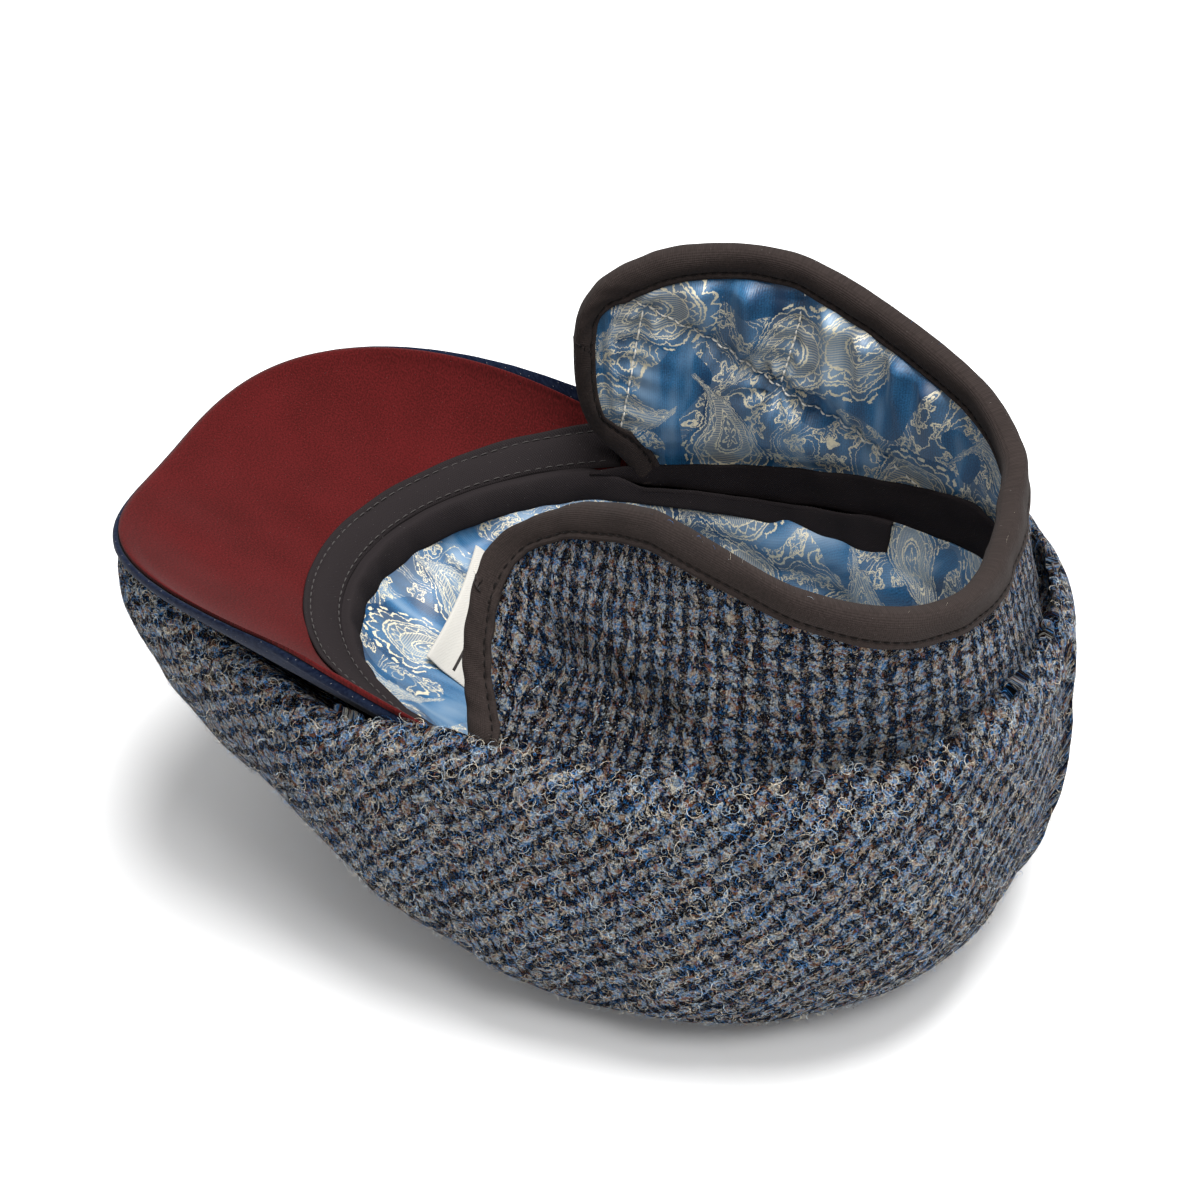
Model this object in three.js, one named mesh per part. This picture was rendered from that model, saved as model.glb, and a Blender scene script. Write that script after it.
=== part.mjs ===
// Earflap cap of tweed with a cloth peak, lying upside down on its crown.
// Millimetres. Z is up, the peak points to -Y, and +X is the wearer's right.
import * as THREE from 'three';

// Head seam: an oval for a head of 57 to 58 cm, level, above the surface the crown lies on
const SEAM = { halfLength: 100, halfWidth: 82, height: 80 };
const GAP = 0.3;
const CLOTH = { tweed: 2.0, lining: 1.8, binding: 0.9, cotton: 1.2, tape: 0.8 };

// Peak: the outline is a full half oval beyond two side points, and the cloth rises straight forward
const PEAK = {
  halfWidth: 82.0, sideForward: 40.2, reach: 121.0, fullness: 3, slope: 23.7, rootTurn: 65.5,
  topThickness: 3.0, underThickness: 1.4, border: 3.0, rootGap: 0.4,
};
// The facing narrows towards its two ends, past a turn round the seam
const FACING = { width: 10, narrowing: 6, narrowFrom: 48, narrowOver: 16, endTurn: 64, thickness: 1.0 };

// Rows of numbers under named columns, as a list of objects
function tabled(columns, rows) {
  const names = columns.split(' ');
  return rows.map((row) => Object.fromEntries(names.map((name, k) => [name, row[k]])));
}

// Crown sections by plan angle from the front: distance from the seam's centre, and height
const CROWN = tabled('at foldR foldZ wideR wideZ midR midZ lowR lowZ restR', [
  [0, 156.5, 98.5, 159.5, 89, 150, 57, 120, 26, 35],
  [15, 156.5, 101.5, 159.5, 91, 150, 57, 121, 27, 37],
  [20, 152.5, 103.0, 156.0, 92, 146, 60, 120, 29, 39],
  [26, 138.0, 98.5, 143.5, 88, 137, 60, 115, 30, 42],
  [34, 122.5, 94.0, 130.5, 82, 126, 56, 107, 28, 46],
  [42, 114.0, 92.0, 122.0, 77, 117, 50, 101, 25, 50],
  [50, 106.0, 91.5, 114.0, 74, 110, 45, 96, 21, 54],
  [60, 98.5, 93.5, 106.5, 73, 104, 41, 91, 16, 58],
  [75, 91.0, 95.0, 100.0, 73, 99, 37, 88, 12, 62],
  [90, 88.5, 95.0, 98.0, 73, 97, 35, 87, 10, 64],
  [110, 91.5, 95.0, 101.5, 73, 100, 35, 90, 10, 67],
  [130, 98.5, 95.5, 109.0, 74, 107, 36, 95, 11, 69],
  [150, 102.5, 97.0, 110.5, 77, 109, 38, 97, 12, 71],
  [180, 102.5, 99.5, 109.5, 80, 108, 40, 97, 12, 72],
]);
// The crown starts outside the head seam and below it: deeper under the peak, which ends past a plan angle
const CROWN_SEAM = { offset: 2.9, underPeak: 7.4, crevice: 1.5, peakUntil: 58, peakFade: 12 };
const PEAK_CLEARANCE = { around: 1, from: 34, below: 0.7 };

// Hanging bowl of the crown lining by plan angle: distances inside the seam, and depths below it
const BOWL = tabled('at puffIn puffDown midIn midDown lowIn lowDown', [
  [0, 7.0, 12.5, 24, 22, 46, 38],
  [40, 7.0, 12.5, 22, 22, 42, 39],
  [75, 7.5, 15, 13, 32, 28, 46],
  [110, 7.5, 20, 10, 36, 25, 50],
  [150, 5.0, 20, 10, 38, 28, 51],
  [180, 4.5, 20, 10, 38, 30, 51],
]);
const BOWL_FLOOR = { depth: 54, centreY: 8, halfway: 0.5, rise: 1, labelRise: 6 };
// The lining is tucked behind the band: distance inside the seam, rise behind it, and tuck where no band runs
const BOWL_EDGE = { inward: 2.3, tuck: 3.0, bare: 3, share: 0.9, labelFrom: 6.3 };

// Line where the lining meets the band and tape: it climbs towards the back of the head
const CREASE = [
  { at: 0, rise: 0 },
  { at: 105, rise: 0 },
  { at: 127, rise: 3.5 },
  { at: 142, rise: 7.5 },
  { at: 180, rise: 10 },
];

// Sweatband by turn round the seam: start of its visible face, and its lower edge
const BAND = [
  { at: 0, startIn: 0.4, startUp: 0.8, reach: 5.0, drop: 8.5 },
  { at: 56, startIn: 0.4, startUp: 0.8, reach: 5.2, drop: 8 },
  { at: 63, startIn: 3.0, startUp: -1.5, reach: 6.2, drop: 8.5 },
  { at: 69, startIn: 4.2, startUp: -6.0, reach: 6.6, drop: 10 },
  { at: 90, startIn: 4.2, startUp: -7.3, reach: 6.9, drop: 12.5 },
  { at: 105, startIn: 4.2, startUp: -5.0, reach: 6.9, drop: 14 },
  { at: 117, startIn: 4.2, startUp: -1.2, reach: 6.9, drop: 14 },
];
const BAND_END = 117;
const BAND_FADE = 12;

// Tape over the base of the flap lining: its two edges, measured from the seam
const TAPE = [
  { at: 70, low: -5, high: 2.0 },
  { at: 90, low: -6.9, high: 5.0 },
  { at: 105, low: -4.5, high: 8.5 },
  { at: 120, low: -1.8, high: 13.0 },
  { at: 140, low: 4.0, high: 20 },
  { at: 180, low: 6.6, high: 21 },
];

// Pattern of the flaps, one band round the back, as turn round the seam and height above it
const FLAP = [
  { at: 56.0, low: 34, top: 46 },
  { at: 56.7, low: 24, top: 53 },
  { at: 58.4, low: 14, top: 59.5 },
  { at: 60.5, low: 9.5, top: 64.5 },
  { at: 64.6, low: 7.0, top: 69.2 },
  { at: 68.3, low: 4.5, top: 72.2 },
  { at: 71.0, low: 0.8, top: 73.7 },
  { at: 76.4, low: 0.8, top: 76 },
  { at: 87.2, low: 0.8, top: 77.6 },
  { at: 94.0, low: 0.8, top: 77 },
  { at: 101.3, low: 0.8, top: 73.7 },
  { at: 115.6, low: 0.8, top: 65 },
  { at: 132.3, low: 0.8, top: 56.5 },
  { at: 147.0, low: 0.8, top: 50 },
  { at: 165.0, low: 0.8, top: 47 },
  { at: 180.0, low: 0.8, top: 47 },
];
// The panel is set back inside its binding, all round its free edge, down to where it meets the seam
const FLAP_SETBACK = 2.2;
const SETBACK_END = { turn: 70, over: 4 };
const FLAP_ROWS = 6;
const ROW_SPREAD = 1.3;
const FLAP_FOOT = 0.8;
const FLAP_SPAN = 77;
const FLAP_STAND = 10;

// Inward lean of the flaps in degrees, from base to tip. Turns past 180 are the wearer's left
const LEAN = [
  { at: 56, base: 43, tip: 27 },
  { at: 62, base: 57, tip: 23 },
  { at: 70, base: 64, tip: 18 },
  { at: 80, base: 66, tip: 14 },
  { at: 90, base: 61, tip: 10 },
  { at: 100, base: 49, tip: 11 },
  { at: 110, base: 32, tip: 12 },
  { at: 122, base: 12, tip: 3 },
  { at: 135, base: 5, tip: 0 },
  { at: 150, base: 8, tip: 0 },
  { at: 165, base: 17, tip: 2 },
  { at: 180, base: 22, tip: 5 },
  { at: 195, base: 20, tip: 4 },
  { at: 210, base: 7, tip: 0 },
  { at: 228, base: 0, tip: 0 },
  { at: 304, base: 0, tip: 0 },
];

// The front corner of the right flap is pushed back along the seam, most of all low down
const PUSH = { back: 16.5, fromTurn: 57, overTurn: 48, fullHeight: 14, fadeFrom: 4.5, fadeOver: 53 };

// Binding: a folded strip round the free edge, as distance in from that edge and side of the cloth
const BINDING = { width: 9.5, middle: 5, slack: 0.8, fold: 1.2, cloth: 1.1, nose: 1.0 };
const LABEL = { length: 50, width: 20, thickness: 0.6, corner: [15, -74], turn: -4, lift: 1.2 };

const COLOURS = {
  tweed: 0x4a5260, lining: 0x6f93bd, black: 0x222226, navy: 0x1f2a40,
  burgundy: 0x5c1f26, binding: 0x35302f, label: 0xe9e7e2,
};

const { PI, abs, cos, sin, sqrt, sign, min, max, tan, hypot, atan2 } = Math;
const rad = (degrees) => (degrees * PI) / 180;
const mix = (a, b, t) => a + (b - a) * t;
const clamp01 = (t) => min(1, max(0, t));
const smooth = (t) => clamp01(t) ** 2 * (3 - 2 * clamp01(t));

// Reads one column of a table at any position, with a smooth curve through its rows
function read(table, column, at) {
  const last = table.length - 1;
  if (at <= table[0].at) return table[0][column];
  if (at >= table[last].at) return table[last][column];
  let k = 0;
  while (table[k + 1].at < at) k += 1;
  const slope = (i) => {
    if (i === 0 || i === last) return 0;
    const before = (table[i][column] - table[i - 1][column]) / (table[i].at - table[i - 1].at);
    const after = (table[i + 1][column] - table[i][column]) / (table[i + 1].at - table[i].at);
    return before * after <= 0 ? 0 : (2 * before * after) / (before + after);
  };
  const span = table[k + 1].at - table[k].at;
  const t = (at - table[k].at) / span;
  const from = table[k][column];
  const to = table[k + 1][column];
  const bend = (1 - t) * slope(k) * span - t * slope(k + 1) * span;
  return mix(from, to, t * t * (3 - 2 * t)) + t * (1 - t) * bend;
}

// Point at a turn round the head seam, moved outward by an offset. Turn 0 is the front, 90 the wearer's right
function seamPoint(turn, offset = 0) {
  const x = SEAM.halfWidth * sin(rad(turn));
  const y = -SEAM.halfLength * cos(rad(turn));
  const nx = sin(rad(turn)) * SEAM.halfLength;
  const ny = -cos(rad(turn)) * SEAM.halfWidth;
  const n = hypot(nx, ny);
  return { x: x + (nx / n) * offset, y: y + (ny / n) * offset, nx: nx / n, ny: ny / n };
}

const seamRadius = (plan) => 1 / hypot(sin(rad(plan)) / SEAM.halfWidth, cos(rad(plan)) / SEAM.halfLength);
const seamSpeed = (turn) => rad(hypot(SEAM.halfWidth * cos(rad(turn)), SEAM.halfLength * sin(rad(turn))));
const mirrored = (turn) => (turn > 180 ? 360 - turn : turn);
const polar = (plan, radius, z) => [radius * sin(rad(plan)), -radius * cos(rad(plan)), z];

function minus(a, b) {
  return [a[0] - b[0], a[1] - b[1], a[2] - b[2]];
}

function cross(a, b) {
  return [a[1] * b[2] - a[2] * b[1], a[2] * b[0] - a[0] * b[2], a[0] * b[1] - a[1] * b[0]];
}

// Turns every triangle over if the body would be inside out
function faceOutward(points, faces) {
  let volume = 0;
  for (const [a, b, c] of faces) {
    const normal = cross(points[b], points[c]);
    volume += points[a][0] * normal[0] + points[a][1] * normal[1] + points[a][2] * normal[2];
  }
  return volume > 0 ? faces : faces.map(([a, b, c]) => [a, c, b]);
}

function mesh(name, colour, points, faces) {
  const geometry = new THREE.BufferGeometry();
  geometry.setAttribute('position', new THREE.Float32BufferAttribute(points.flat(), 3));
  geometry.setIndex(faceOutward(points, faces).flat());
  geometry.computeVertexNormals();
  const material = new THREE.MeshStandardMaterial({ color: colour, roughness: 0.9, metalness: 0 });
  const body = new THREE.Mesh(geometry, material);
  body.name = name;
  return body;
}

// Closed wall between two facing grids of points. A ring closes on itself; a bowl also closes at its last row
function wall(name, colour, outer, inner, kind = 'panel') {
  const columns = outer.length;
  const rows = outer[0].length;
  const ring = kind !== 'panel';
  const points = [...outer.flat(), ...inner.flat()];
  const faces = [];
  const at = (side, i, j) => side * columns * rows + (i % columns) * rows + j;
  const quad = (a, b, c, d) => faces.push([a, b, c], [a, c, d]);
  const lastColumn = ring ? columns : columns - 1;
  for (let i = 0; i < lastColumn; i += 1) {
    for (let j = 0; j < rows - 1; j += 1) {
      quad(at(0, i, j), at(0, i + 1, j), at(0, i + 1, j + 1), at(0, i, j + 1));
      quad(at(1, i, j), at(1, i, j + 1), at(1, i + 1, j + 1), at(1, i + 1, j));
    }
    quad(at(0, i, 0), at(1, i, 0), at(1, i + 1, 0), at(0, i + 1, 0));
    if (kind !== 'bowl') {
      const j = rows - 1;
      quad(at(0, i, j), at(0, i + 1, j), at(1, i + 1, j), at(1, i, j));
    }
  }
  if (kind === 'panel') {
    const end = columns - 1;
    for (let j = 0; j < rows - 1; j += 1) {
      quad(at(0, 0, j), at(0, 0, j + 1), at(1, 0, j + 1), at(1, 0, j));
      quad(at(0, end, j), at(1, end, j), at(1, end, j + 1), at(0, end, j + 1));
    }
  }
  if (kind === 'bowl') closeBowl(points, faces, columns, at, rows - 1);
  return mesh(name, colour, points, faces);
}

// Fans over the middle of the last row, on both sides of the cloth
function closeBowl(points, faces, columns, at, row) {
  for (const side of [0, 1]) {
    const middle = [0, 0, 0];
    for (let i = 0; i < columns; i += 1) {
      for (let k = 0; k < 3; k += 1) middle[k] += points[at(side, i, row)][k] / columns;
    }
    points.push(middle);
    const hub = points.length - 1;
    for (let i = 0; i < columns; i += 1) {
      const a = at(side, i, row);
      const b = at(side, i + 1, row);
      faces.push(side === 0 ? [a, b, hub] : [b, a, hub]);
    }
  }
}

// Second face of a cloth: each point of a grid moved along the cloth's own normal
function thicken(grid, thickness, ring) {
  const columns = grid.length;
  const rows = grid[0].length;
  return grid.map((column, i) => column.map((point, j) => {
    const before = ring ? (i + columns - 1) % columns : max(i - 1, 0);
    const after = ring ? (i + 1) % columns : min(i + 1, columns - 1);
    const across = minus(grid[after][j], grid[before][j]);
    const along = minus(grid[i][min(j + 1, rows - 1)], grid[i][max(j - 1, 0)]);
    const normal = cross(across, along);
    const length = hypot(...normal);
    return point.map((value, k) => value + (normal[k] / length) * thickness);
  }));
}

// Smooth run of points through [distance, height] corners, with a number of steps between each pair
function profile(corners, steps) {
  const through = corners.map(([r, z]) => new THREE.Vector3(r, 0, z));
  const curve = new THREE.CatmullRomCurve3(through, false, 'centripetal');
  const count = (corners.length - 1) * steps;
  const points = [];
  for (let k = 0; k <= count; k += 1) {
    const p = curve.getPoint(k / count);
    points.push([p.x, p.z]);
  }
  return points;
}

// Height of the peak's upper face above the seam, at a place in plan
function peakRise(x, y) {
  const across = min(1, abs(x) / SEAM.halfWidth);
  return tan(rad(PEAK.slope)) * (-y - SEAM.halfLength * sqrt(1 - across * across));
}

function peakOutline(angle, inset) {
  const power = 2 / PEAK.fullness;
  const c = cos(rad(angle));
  const s = sin(rad(angle));
  const x = -(PEAK.halfWidth - inset) * sign(c) * abs(c) ** power;
  return [x, -PEAK.sideForward - (PEAK.reach - inset) * abs(s) ** power];
}

// Point on the peak between its root on the seam and its outline, moved below its upper face
function peakPoint(across, out, inset, below) {
  const turn = mix(-PEAK.rootTurn, PEAK.rootTurn, across);
  const root = seamPoint(turn, PEAK.rootGap);
  const edge = peakOutline(mix(0, 180, across), inset);
  const x = mix(root.x, edge[0], out);
  const y = mix(root.y, edge[1], out);
  return [x, y, SEAM.height + peakRise(x, y) - below];
}

const PEAK_COLUMNS = 26;
const PEAK_ROWS = [0, 0.33, 0.67, 1];

function peakGrid(insetAt, belowAt, rows = PEAK_ROWS) {
  const grid = [];
  for (let i = 0; i <= PEAK_COLUMNS; i += 1) {
    grid.push(rows.map((out, j) => peakPoint(i / PEAK_COLUMNS, out, insetAt(j), belowAt(j))));
  }
  return grid;
}

// Navy cloth over the board. Its edge turns up round the facing as a narrow border
function peakTop() {
  const last = PEAK_ROWS.length;
  const rows = [...PEAK_ROWS, 1];
  const under = PEAK.underThickness + GAP;
  const upper = peakGrid((j) => (j < last ? PEAK.border : 0), (j) => (j < last ? under : 0.4), rows);
  const lower = peakGrid((j) => (j < last ? PEAK.border : 0), () => under + PEAK.topThickness, rows);
  return wall('peak_top', COLOURS.navy, upper, lower);
}

function peakUnder() {
  const inset = () => PEAK.border + GAP;
  return wall(
    'peak_under', COLOURS.burgundy,
    peakGrid(inset, () => 0), peakGrid(inset, () => PEAK.underThickness),
  );
}

// Black strip over the root of the peak, from the head seam outward
function peakFacing() {
  const grid = (lift) => {
    const columns = [];
    for (let i = 0; i <= PEAK_COLUMNS; i += 1) {
      const turn = mix(-FACING.endTurn, FACING.endTurn, i / PEAK_COLUMNS);
      const narrowed = smooth((abs(turn) - FACING.narrowFrom) / FACING.narrowOver);
      const width = FACING.width - FACING.narrowing * narrowed;
      const widths = [PEAK.rootGap, width * 0.5, width];
      columns.push(widths.map((offset) => {
        const { x, y } = seamPoint(turn, offset);
        return [x, y, SEAM.height + peakRise(x, y) + lift];
      }));
    }
    return columns;
  };
  return wall('peak_facing', COLOURS.black, grid(GAP + FACING.thickness), grid(GAP));
}

// Outer face of the crown at one plan angle, from the head seam over the fold and down to the rest
function crownColumn(plan) {
  const at = abs(plan) > 180 ? 360 - abs(plan) : abs(plan);
  const row = (column) => read(CROWN, column, at);
  const underPeak = 1 - smooth((at - CROWN_SEAM.peakUntil) / CROWN_SEAM.peakFade);
  const seamR = seamRadius(plan) + CROWN_SEAM.offset;
  const seamZ = SEAM.height - mix(CROWN_SEAM.crevice, CROWN_SEAM.underPeak, underPeak);
  const bendR = mix(seamR + 2.2, mix(seamR, row('foldR'), 0.5), underPeak);
  const bendZ = mix(seamZ + 8, mix(seamZ, row('foldZ'), 0.5) - 1, underPeak);
  const corners = [
    [seamR, seamZ], [bendR, bendZ], [row('foldR'), row('foldZ')],
    [mix(row('foldR'), row('wideR'), 0.75), mix(row('foldZ'), row('wideZ'), 0.3)],
    [row('wideR'), row('wideZ')], [row('midR'), row('midZ')], [row('lowR'), row('lowZ')],
    [row('restR'), 0],
  ];
  return profile(corners, 2).map(([r, z]) => {
    const [x, y] = polar(plan, r, 0);
    return [x, y, min(max(z, 0), underPeakLimit(x, y, z))];
  });
}

// Keeps the crown clear of the peak wherever it passes below it
function underPeakLimit(x, y, z) {
  const halfWidth = PEAK.halfWidth + PEAK_CLEARANCE.around;
  const side = min(1, abs(x) / halfWidth);
  const reach = PEAK.reach + PEAK_CLEARANCE.around;
  const front = PEAK.sideForward + reach * (1 - side ** PEAK.fullness) ** (1 / PEAK.fullness);
  const inside = abs(x) < halfWidth && -y > PEAK_CLEARANCE.from && -y < front;
  const clear = PEAK.topThickness + PEAK.underThickness + GAP + PEAK_CLEARANCE.below;
  return inside ? SEAM.height + peakRise(x, y) - clear : z;
}

// The columns of the crown stand closer together round its long front
const CROWN_COLUMNS = 50;
const CROWN_CROWDING = 0.3;

function crown() {
  const outer = [];
  for (let i = 0; i < CROWN_COLUMNS; i += 1) {
    const even = (360 * i) / CROWN_COLUMNS;
    outer.push(crownColumn(even - (CROWN_CROWDING * sin(rad(even)) * 180) / PI));
  }
  const inner = thicken(outer, CLOTH.tweed, true);
  for (const column of inner) column[column.length - 1][2] = CLOTH.tweed;
  return wall('crown', COLOURS.tweed, outer, inner, 'bowl');
}

// Upper face of the crown lining at one turn: distances inside the seam, and heights from it
function bowlProfile(turn) {
  const at = mirrored((turn + 360) % 360);
  const row = (column) => read(BOWL, column, at);
  const behindBand = 1 - smooth((at - BAND_END) / BAND_FADE);
  const tuck = mix(BOWL_EDGE.bare, read(BAND, 'drop', at), behindBand) * BOWL_EDGE.share;
  const corners = [
    [BOWL_EDGE.inward, read(CREASE, 'rise', at) - BOWL_EDGE.tuck], [BOWL_EDGE.inward, -tuck],
    [row('puffIn'), -row('puffDown')], [row('midIn'), -row('midDown')], [row('lowIn'), -row('lowDown')],
  ];
  return profile(corners, 2);
}

// Hanging lining of the crown, from the seam to a soft round floor
function crownLining() {
  const columns = 36;
  const upper = [];
  for (let i = 0; i < columns; i += 1) {
    const turn = (360 * i) / columns;
    const column = bowlProfile(turn).map(([inward, up]) => flapPoint(turn, up, -inward));
    const edge = column[column.length - 1];
    const floor = SEAM.height - BOWL_FLOOR.depth + BOWL_FLOOR.rise;
    const t = BOWL_FLOOR.halfway;
    column.push([mix(edge[0], 0, t), mix(edge[1], BOWL_FLOOR.centreY, t), floor]);
    upper.push(column);
  }
  return wall('crown_lining', COLOURS.lining, upper, thicken(upper, -CLOTH.lining, true), 'bowl');
}

// Height of the crown lining's upper face below a place in plan near the front
function bowlHeight(x, y) {
  const turn = (atan2(x / SEAM.halfWidth, -y / SEAM.halfLength) * 180) / PI;
  const edge = seamPoint(turn);
  const inward = hypot(edge.x - x, edge.y - y);
  const run = bowlProfile(turn).filter(([reach]) => reach > BOWL_EDGE.labelFrom);
  for (let k = 1; k < run.length; k += 1) {
    const [r0, z0] = run[k - 1];
    const [r1, z1] = run[k];
    if (inward <= r1) return SEAM.height + mix(z0, z1, clamp01((inward - r0) / (r1 - r0)));
  }
  return SEAM.height - BOWL_FLOOR.depth + BOWL_FLOOR.labelRise;
}

// Bare woven label lying on the lining
function label() {
  const grid = (lift) => {
    const columns = [];
    for (let i = 0; i <= 6; i += 1) {
      const column = [];
      for (let j = 0; j <= 3; j += 1) {
        const back = (LABEL.length * i) / 6;
        const side = (LABEL.width * j) / 3;
        const x = LABEL.corner[0] - back * cos(rad(LABEL.turn)) - side * sin(rad(LABEL.turn));
        const y = LABEL.corner[1] + back * sin(rad(LABEL.turn)) + side * cos(rad(LABEL.turn));
        column.push([x, y, bowlHeight(x, y) + lift]);
      }
      columns.push(column);
    }
    return columns;
  };
  return wall('label', COLOURS.label, grid(LABEL.lift + LABEL.thickness), grid(LABEL.lift));
}

// Black cotton band inside the front and sides of the head opening
function sweatband() {
  const columns = 38;
  const face = [];
  for (let i = 0; i <= columns; i += 1) {
    const turn = mix(-BAND_END, BAND_END, i / columns);
    const row = (column) => read(BAND, column, abs(turn));
    const corners = [
      [row('startIn'), row('startUp')], [mix(row('startIn'), row('reach'), 0.5), row('startUp') * 0.8 + 0.2],
      [row('reach') - 0.4, mix(row('startUp'), -row('drop'), 0.4)], [row('reach'), -row('drop')],
    ];
    face.push(profile(corners, 1).map(([inward, up]) => {
      const { x, y } = seamPoint(turn, -inward);
      return [x, y, SEAM.height + up];
    }));
  }
  return wall('sweatband', COLOURS.black, face, thicken(face, -CLOTH.cotton, false));
}

// Inward reach, height and lean of a flap at a height of its pattern, found by walking up the cloth
function flapRise(turn, height) {
  const base = rad(read(LEAN, 'base', turn));
  const tip = rad(read(LEAN, 'tip', turn));
  const leanAt = (h) => mix(base, tip, h / FLAP_SPAN) * smooth(h / FLAP_STAND);
  if (height <= 0) return { inward: 0, up: height, lean: 0 };
  const steps = 16;
  let inward = 0;
  let up = 0;
  for (let k = 0; k < steps; k += 1) {
    const lean = leanAt(((k + 0.5) * height) / steps);
    inward += (sin(lean) * height) / steps;
    up += (cos(lean) * height) / steps;
  }
  return { inward, up, lean: leanAt(height) };
}

// How far a place on the right flap is pushed back, as a turn round the seam
function pushedBack(turn, height) {
  if (turn >= 180 || height <= 0) return 0;
  const round = 1 - smooth((turn - PUSH.fromTurn) / PUSH.overTurn);
  const rise = smooth(height / PUSH.fullHeight) * (1 - smooth((height - PUSH.fadeFrom) / PUSH.fadeOver));
  return (PUSH.back * round * rise) / seamSpeed(turn);
}

// Point on a flap: turn round the seam, height up the cloth, and offset to its outer side
function flapPoint(turn, height, offset) {
  const { inward, up, lean } = flapRise(turn, height);
  const { x, y } = seamPoint(turn + pushedBack(turn, height), offset * cos(lean) - inward);
  return [x, y, SEAM.height + up + offset * sin(lean)];
}

// Turns at which the flap band is sampled: close together round its two front ends
function flapTurns() {
  const start = FLAP[0].at + FLAP_SETBACK / seamSpeed(FLAP[0].at);
  const front = [0, 0.8, 2.2, 4.2, 6.8, 9.6, 12.2, 15.2].map((step) => start + step);
  const middle = [];
  for (let turn = front[7] + 5; turn < 177; turn += 6.6) middle.push(turn);
  const half = [...front, ...middle];
  return [...half, 180, ...half.map((turn) => 360 - turn).reverse()];
}

// Lower and upper ends of the panel at a turn, set back inside the binding
function flapSpan(turn, lowest) {
  const at = mirrored(turn);
  const start = FLAP[0].at;
  const setback = FLAP_SETBACK / seamSpeed(start);
  const attached = FLAP[6].at;
  const stretch = clamp01((at - start - setback) / (attached - start - setback));
  const outline = at < attached ? mix(start, attached, stretch) : at;
  const free = 1 - smooth((at - SETBACK_END.turn) / SETBACK_END.over);
  const low = read(FLAP, 'low', outline) + FLAP_SETBACK * free;
  return [max(low, lowest(at)), read(FLAP, 'top', outline) - FLAP_SETBACK];
}

function flapPanel(name, colour, outerOffset, thickness, lowest) {
  const grid = (offset) => flapTurns().map((turn) => {
    const [low, top] = flapSpan(turn, lowest);
    const column = [];
    for (let j = 0; j <= FLAP_ROWS; j += 1) {
      column.push(flapPoint(turn, mix(low, top, (j / FLAP_ROWS) ** ROW_SPREAD), offset));
    }
    return column;
  });
  return wall(name, colour, grid(outerOffset), grid(outerOffset - thickness));
}

function earflapBand() {
  return flapPanel('earflap_band', COLOURS.tweed, CLOTH.tweed, CLOTH.tweed, () => FLAP_FOOT);
}

function earflapLining() {
  const aboveCrease = (at) => max(FLAP_FOOT, read(CREASE, 'rise', at));
  return flapPanel('earflap_lining', COLOURS.lining, -GAP, CLOTH.lining, aboveCrease);
}

// Binding's first station as turn and height, and millimetres for a degree of turn there
const EDGE_START = [70.4, 2.4];
const EDGE_SPEED = 1.67;

// Free edge of the flaps from one end at the seam to the other, as turn and height of the pattern
function freeEdge() {
  const [front] = FLAP;
  const low = FLAP.filter((row) => row.at < SETBACK_END.turn && row.at > front.at);
  const middle = (front.low + front.top) / 2;
  const start = [
    EDGE_START, ...low.map((row) => [row.at, row.low]).reverse(),
    [front.at, front.low], [front.at, middle], [front.at, front.top],
  ];
  const corners = start.map(([turn, height]) => new THREE.Vector3(turn * EDGE_SPEED, height, 0));
  const curve = new THREE.CatmullRomCurve3(corners, false, 'centripetal');
  const half = curve.getPoints(11).map((p) => [p.x / EDGE_SPEED, p.y]);
  for (const step of [0.7, 1.6, 3, 5, 8, 12, 16.5, 21.5, 26.5]) {
    half.push([front.at + step, read(FLAP, 'top', front.at + step)]);
  }
  for (let turn = 88; turn < 179; turn += 6.1) half.push([turn, read(FLAP, 'top', turn)]);
  const other = half.map(([turn, height]) => [360 - turn, height]).reverse();
  return [...half, [180, read(FLAP, 'top', 180)], ...other];
}

// Binding folded over both faces of the flap band
function flapBinding() {
  const outside = CLOTH.tweed + BINDING.slack;
  const inside = -GAP - CLOTH.lining - BINDING.slack;
  const thick = CLOTH.binding;
  const section = [
    [BINDING.width, outside], [BINDING.width, outside + thick], [BINDING.middle, outside + thick],
    [BINDING.fold, outside + thick], [0, BINDING.nose - 0.1], [0, -BINDING.nose - 0.1],
    [BINDING.fold, inside - thick], [BINDING.middle, inside - thick], [BINDING.width, inside - thick],
    [BINDING.width, inside], [BINDING.middle, inside], [BINDING.cloth, inside],
    [BINDING.cloth, outside], [BINDING.middle, outside],
  ];
  const edge = freeEdge();
  const points = [];
  edge.forEach(([turn, height], k) => {
    const [turnA, heightA] = edge[max(k - 1, 0)];
    const [turnB, heightB] = edge[min(k + 1, edge.length - 1)];
    const speed = seamSpeed(turn);
    const along = [(turnB - turnA) * speed, heightB - heightA];
    const length = hypot(...along);
    const inward = [along[1] / length, -along[0] / length];
    for (const [depth, offset] of section) {
      points.push(flapPoint(turn + (inward[0] * depth) / speed, height + inward[1] * depth, offset));
    }
  });
  return mesh('flap_binding', COLOURS.binding, points, sweepFaces(edge.length, section));
}

// Faces of a closed section carried along a path, with a cap at each end
function sweepFaces(stations, corners) {
  const faces = [];
  for (let k = 0; k < stations - 1; k += 1) {
    for (let c = 0; c < corners.length; c += 1) {
      const a = k * corners.length + c;
      const b = k * corners.length + ((c + 1) % corners.length);
      faces.push([b, a, a + corners.length], [b, a + corners.length, b + corners.length]);
    }
  }
  const last = (stations - 1) * corners.length;
  const outline = corners.map(([depth, offset]) => new THREE.Vector2(depth, offset));
  for (const [a, b, c] of THREE.ShapeUtils.triangulateShape(outline, [])) {
    faces.push([a, b, c], [last + a, last + c, last + b]);
  }
  return faces;
}

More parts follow.
